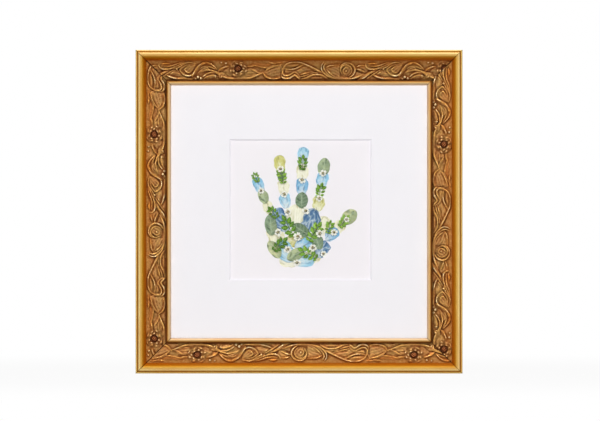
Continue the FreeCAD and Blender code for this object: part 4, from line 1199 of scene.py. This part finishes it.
def petalFinish(tones, foot, veinAndShadeTone, veinCount, veinStrength):
    # tones run over a piece's own tone; pale at the foot, deeper at the rim; painted shade in the fold
    # valleys and painted highlight on the fold ridges
    def recipe(tree):
        along, across, tone, fold = pieceSockets(tree)
        place = objectPlace(tree)
        cloud = place.noise(0.16, 4.0, 0.6)
        blotch = place.noise(0.5, 4.0, 0.65)
        fine = place.noise(1.8, 4.0, 0.7)
        veins = ((across * veinCount + place.noise(0.3, 2.0) * 3.0).wave() * 0.5 + 0.5) ** 4.0
        colour = (tone + (cloud - 0.5) * 0.35).ramp(*tones)
        deep = along * 0.4 + across.size() * 0.35 + 0.24 + tone * 0.3 + (blotch - 0.5) * 1.3
        colour = ((1 - deep.step(0.05, 0.75)) * 0.9).blend(colour, foot)
        colour = (veins * veinStrength).blend(colour, veinAndShadeTone)
        # painted shade in the fold valleys
        colour = ((0.5 - fold).step(-0.02, 0.4) * (0.35 + tone * 0.5)).blend(colour, veinAndShadeTone)
        # painted highlight on the fold ridges
        colour = ((fold - 0.5).step(0.08, 0.42) * 0.5).blend(colour, foot)
        # darker toward the rim
        darkerRim = (across.size().most(along) + (fine - 0.5) * 0.5 + (blotch - 0.5) * 0.7).step(0.86, 1.08)
        colour = (darkerRim * 0.5).blend(colour, veinAndShadeTone)
        return {"Base Color": colour, "Roughness": 0.6 + fine * 0.25, "Specular IOR Level": 0.15,
                "Normal": (fold * 0.8 + veins * 0.3 + fine * 0.5 + blotch * 0.8).bump(0.0004, 0.8)}
    return recipe


def leafFinish(tones, dark, vein, sideVeins):
    def recipe(tree):
        along, across, tone, fold = pieceSockets(tree)
        place = objectPlace(tree)
        cloud = place.noise(0.2, 4.0, 0.65)
        blotch = place.noise(0.6, 4.0, 0.65)
        fine = place.noise(2.2, 4.0, 0.7)
        midrib = 1 - across.size().step(0.03, 0.14)
        ribs = ((along * sideVeins - across.size() * 5.0).wave() * 0.5 + 0.5) ** 5.0
        colour = (tone + (cloud - 0.5) * 0.8).ramp(*tones)
        # painted shade in the fold valleys
        colour = ((0.5 - fold).step(0.0, 0.45) * 0.75).blend(colour, dark)
        # painted shade on one half of the leaf, broken by blotches
        colour = ((across + (blotch - 0.5) * 0.8).step(-0.2, 0.5) * 0.4).blend(colour, dark)
        colour = (midrib.most(ribs * 0.6) * 0.6).blend(colour, vein)
        colour = ((across.size() + (blotch - 0.5) * 0.6).step(0.84, 1.05) * 0.45).blend(colour, dark)
        colour = (blotch.step(0.6, 0.75) * 0.45).blend(colour, vein)
        return {"Base Color": colour, "Roughness": 0.45 + fine * 0.25, "Specular IOR Level": 0.18,
                "Normal": (midrib * 0.5 + ribs * 0.5 + blotch * 0.9 + fine * 0.4).bump(0.0004, 0.8)}
    return recipe


def blossomFinish(tree):
    reach, lobe, _, fold = pieceSockets(tree)
    cloud = objectPlace(tree).noise(0.7, 4.0)
    colour = reach.step(0.1, 0.45).blend((196, 198, 138), (248, 246, 236))
    colour = ((1 - lobe.step(0.1, 0.5)) * 0.5).blend(colour, (190, 186, 160))
    colour = (fold * 0.2).blend(colour, (220, 216, 194))
    colour = (cloud.step(0.52, 0.72) * 0.5).blend(colour, (196, 186, 150))
    return {"Base Color": colour, "Roughness": 0.65 + cloud * 0.15,
            "Normal": (cloud + lobe * 0.5 + fold * 0.4).bump(0.0002, 0.7)}


def eyeFinish(tree):
    grain = objectPlace(tree).noise(2.0, 3.0)
    colour = placeOn(tree, "own").part(0).step(0.35, 0.55).blend((150, 128, 52), (52, 46, 32))
    return {"Base Color": (grain * 0.5).blend(colour, (40, 36, 24)), "Roughness": 0.6 + grain * 0.2,
            "Normal": grain.bump(0.00008, 0.5)}


def buildPressed(name, node, pieces, material):
    points, faces, own = joined(pieces)
    own = np.array(own)
    made = addMesh(name, points, faces, [material], None, {"own": own[:, :3], "fold": own[:, 3]}, 50)
    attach(made, "frame")
    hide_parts(node)


pressedTones = {
    "cream": ((0.0, (251, 247, 226)), (0.35, (246, 241, 204)), (0.65, (220, 218, 138)),
              (1.0, (200, 192, 92))),
    "blue": ((0.0, (178, 224, 242)), (0.3, (148, 206, 236)), (0.55, (122, 180, 222)),
             (0.8, (108, 152, 194)), (1.0, (122, 150, 174))),
    "sage": ((0.0, (212, 212, 162)), (0.3, (184, 196, 152)), (0.55, (138, 160, 130)),
             (1.0, (98, 124, 92))),
    "green": ((0.0, (168, 212, 84)), (0.5, (112, 168, 48)), (1.0, (58, 112, 26))),
}
pressedKinds = [
    ("pressedCreamPetals", "pressed_cream_petals", "cream_petal", creamPetals, 0, "cream",
     petalFinish(pressedTones["cream"], (251, 248, 230), (176, 168, 98), 24, 0.16)),
    ("pressedBluePetals", "pressed_blue_petals", "blue_petal", bluePetals, 1, "blue",
     petalFinish(pressedTones["blue"], (230, 239, 242), (66, 104, 146), 28, 0.2)),
    ("pressedSageLeaves", "pressed_sage_leaves", "sage_leaf", sageLeaves, 2, "sage",
     leafFinish(pressedTones["sage"], (76, 98, 70), (180, 196, 166), 15)),
    ("pressedGreenLeaves", "pressed_green_leaves", "green_leaf", greenLeaves, 3, "sprig",
     leafFinish(pressedTones["green"], (20, 54, 6), (190, 222, 112), 12)),
]
for name, node, slot, table, layer, kindName, recipe in pressedKinds:
    pieces = []
    for number, shares in enumerate(table):
        seed = 100 * layer + number
        if kindName == "sprig":
            pieces.append(sprigPiece(shares, layer, seed))
        else:
            crumpled = kindName == "blue" and number in crumpledBlue
            pieces.append(flatPiece(shares, layer, "crumpled" if crumpled else kindName, seed))
    buildPressed(name, node, pieces, newFinish(name, recipe))
buildPressed("pressedBlossoms", "pressed_blossoms",
             [blossomPiece(shares, 4, number) for number, shares in enumerate(blossoms)],
             newFinish("pressedBlossoms", blossomFinish))
buildPressed("blossomEyes", "blossom_centres",
             [eyePiece(shares, 5, number) for number, shares in enumerate(blossoms)],
             newFinish("blossomEyes", eyeFinish))
print("pressed hand done")

# Floor, background, lamps and camera

studio = {
    "fill": 0.14,
    "floorNear": 0.95,
    "floorReach": 14.0,
    "cameraAway": 6.0,
    "viewWidth": 453.8,
    "viewRight": 0.72,
    "viewUp": 0.91,
    "sensor": 36.0,
    # name: (power, size, place, what it lights or leaves out)
    "lamps": {
        "leftBox": (22.0, 0.8, (-1.5, -2.6, 0.3), ("without", "glass", "boards")),
        "rightBox": (22.0, 0.8, (1.5, -2.6, 0.3), ("without", "glass", "boards")),
        "highBox": (21.0, 0.42, (0.0, -1.09, 1.91), ("without", "glass", "boards", "pressed", "floor")),
        "mountBox": (55.5, 0.42, (0.0, -2.5, 0.8), ("only", "boards")),
        "handBox": (28.0, 0.3, (0.0, -1.5, 1.6), ("only", "pressed")),
        "backBox": (27.0, 1.1, (0.0, 1.5, 1.9), ("without", "glass", "floor")),
    },
    # the white boards are evenly lit up to the sight edge
    "shadowless": "mountBox",
}
white = (1.0, 1.0, 1.0, 1.0)


def seenWhite(tree):
    # 1 where a ray from the camera, a gloss or the glass meets the background
    camera, glossy, through = [Value.make(tree, "LightPath", None, None, f"Is {kind} Ray")
                               for kind in ("Camera", "Glossy", "Transmission")]
    return camera.most(glossy).most(through)


def paleFloor(tree):
    # white to the eye, matt under the frame, where it keeps a faint shadow
    matt = Value.make(tree, "BsdfDiffuse", None, {"Color": linear((246, 246, 246))})
    glow = Value.make(tree, "Emission", None, {"Color": white, "Strength": 1.0})
    middle = Value.make(tree, "TexCoord", None, None, "Object")
    away = Value.make(tree, "VectorMath", {"operation": "LENGTH"}, {0: middle}, "Value")
    share = away.step(0.2, 0.9) * (1 - studio["floorNear"]) + studio["floorNear"]
    return Value.make(tree, "MixShader", None, {0: share * seenWhite(tree), 1: matt, 2: glow})


def addLamp(name, settings, target, groups):
    power, size, place, (rule, *parts) = settings
    lamp = bpy.data.lights.new(name, "AREA")
    lamp.energy = power
    lamp.size = size
    lamp.use_shadow = name != studio["shadowless"]
    box = bpy.data.objects.new(name, lamp)
    box.location = place
    box.rotation_euler = (target - box.location).to_track_quat("-Z", "Y").to_euler()
    box.visible_camera = False
    receivers = bpy.data.collections.new(name + "Receivers")
    for part in parts:
        for thing in groups[part]:
            receivers.objects.link(thing)
    box.light_linking.receiver_collection = receivers
    for linked in receivers.collection_objects:
        linked.light_linking.link_state = "EXCLUDE" if rule == "without" else "INCLUDE"
    bpy.context.scene.collection.objects.link(box)


def buildStudio():
    world = bpy.data.worlds.new("studioWhite")
    bpy.context.scene.world = world
    tree = clearedTree(world)
    strength = seenWhite(tree) * (1 - studio["fill"]) + studio["fill"]
    sky = Value.make(tree, "Background", None, {"Color": white, "Strength": strength})
    Value.make(tree, "OutputWorld", None, {"Surface": sky})

    reach = studio["floorReach"]
    corners = [(-reach, -reach, 0), (reach, -reach, 0), (reach, reach, 0), (-reach, reach, 0)]
    finish = newFinish("paleFloor", paleFloor)
    floor = addMesh("paleFloor", corners, [(0, 1, 2, 3)], [finish], sharpAngle=None)

    target = Vector((0.0, 0.0, frameSizes["height"] / 2 * mm))
    pressed = [name for name, *_ in pressedKinds] + ["pressedBlossoms", "blossomEyes"]
    groups = {
        "glass": [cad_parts["glass_pane"]], "floor": [floor],
        "boards": [bpy.data.objects["windowMatBoard"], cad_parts["art_board"]],
        "pressed": [bpy.data.objects[name] for name in pressed],
    }
    for name, settings in studio["lamps"].items():
        addLamp(name, settings, target, groups)

    lens = bpy.data.cameras.new("frontCamera")
    lens.sensor_width = studio["sensor"]
    lens.lens = studio["sensor"] * studio["cameraAway"] / (studio["viewWidth"] * mm)
    lens.clip_end = 60.0
    camera = bpy.data.objects.new("frontCamera", lens)
    up = target.z + studio["viewUp"] * mm
    camera.location = (studio["viewRight"] * mm, -studio["cameraAway"] - 0.01, up)
    camera.rotation_euler = (math.radians(90), 0, 0)
    bpy.context.scene.collection.objects.link(camera)
    bpy.context.scene.camera = camera
    bpy.context.scene.view_settings.view_transform = "Standard"


buildStudio()
print("studio done")
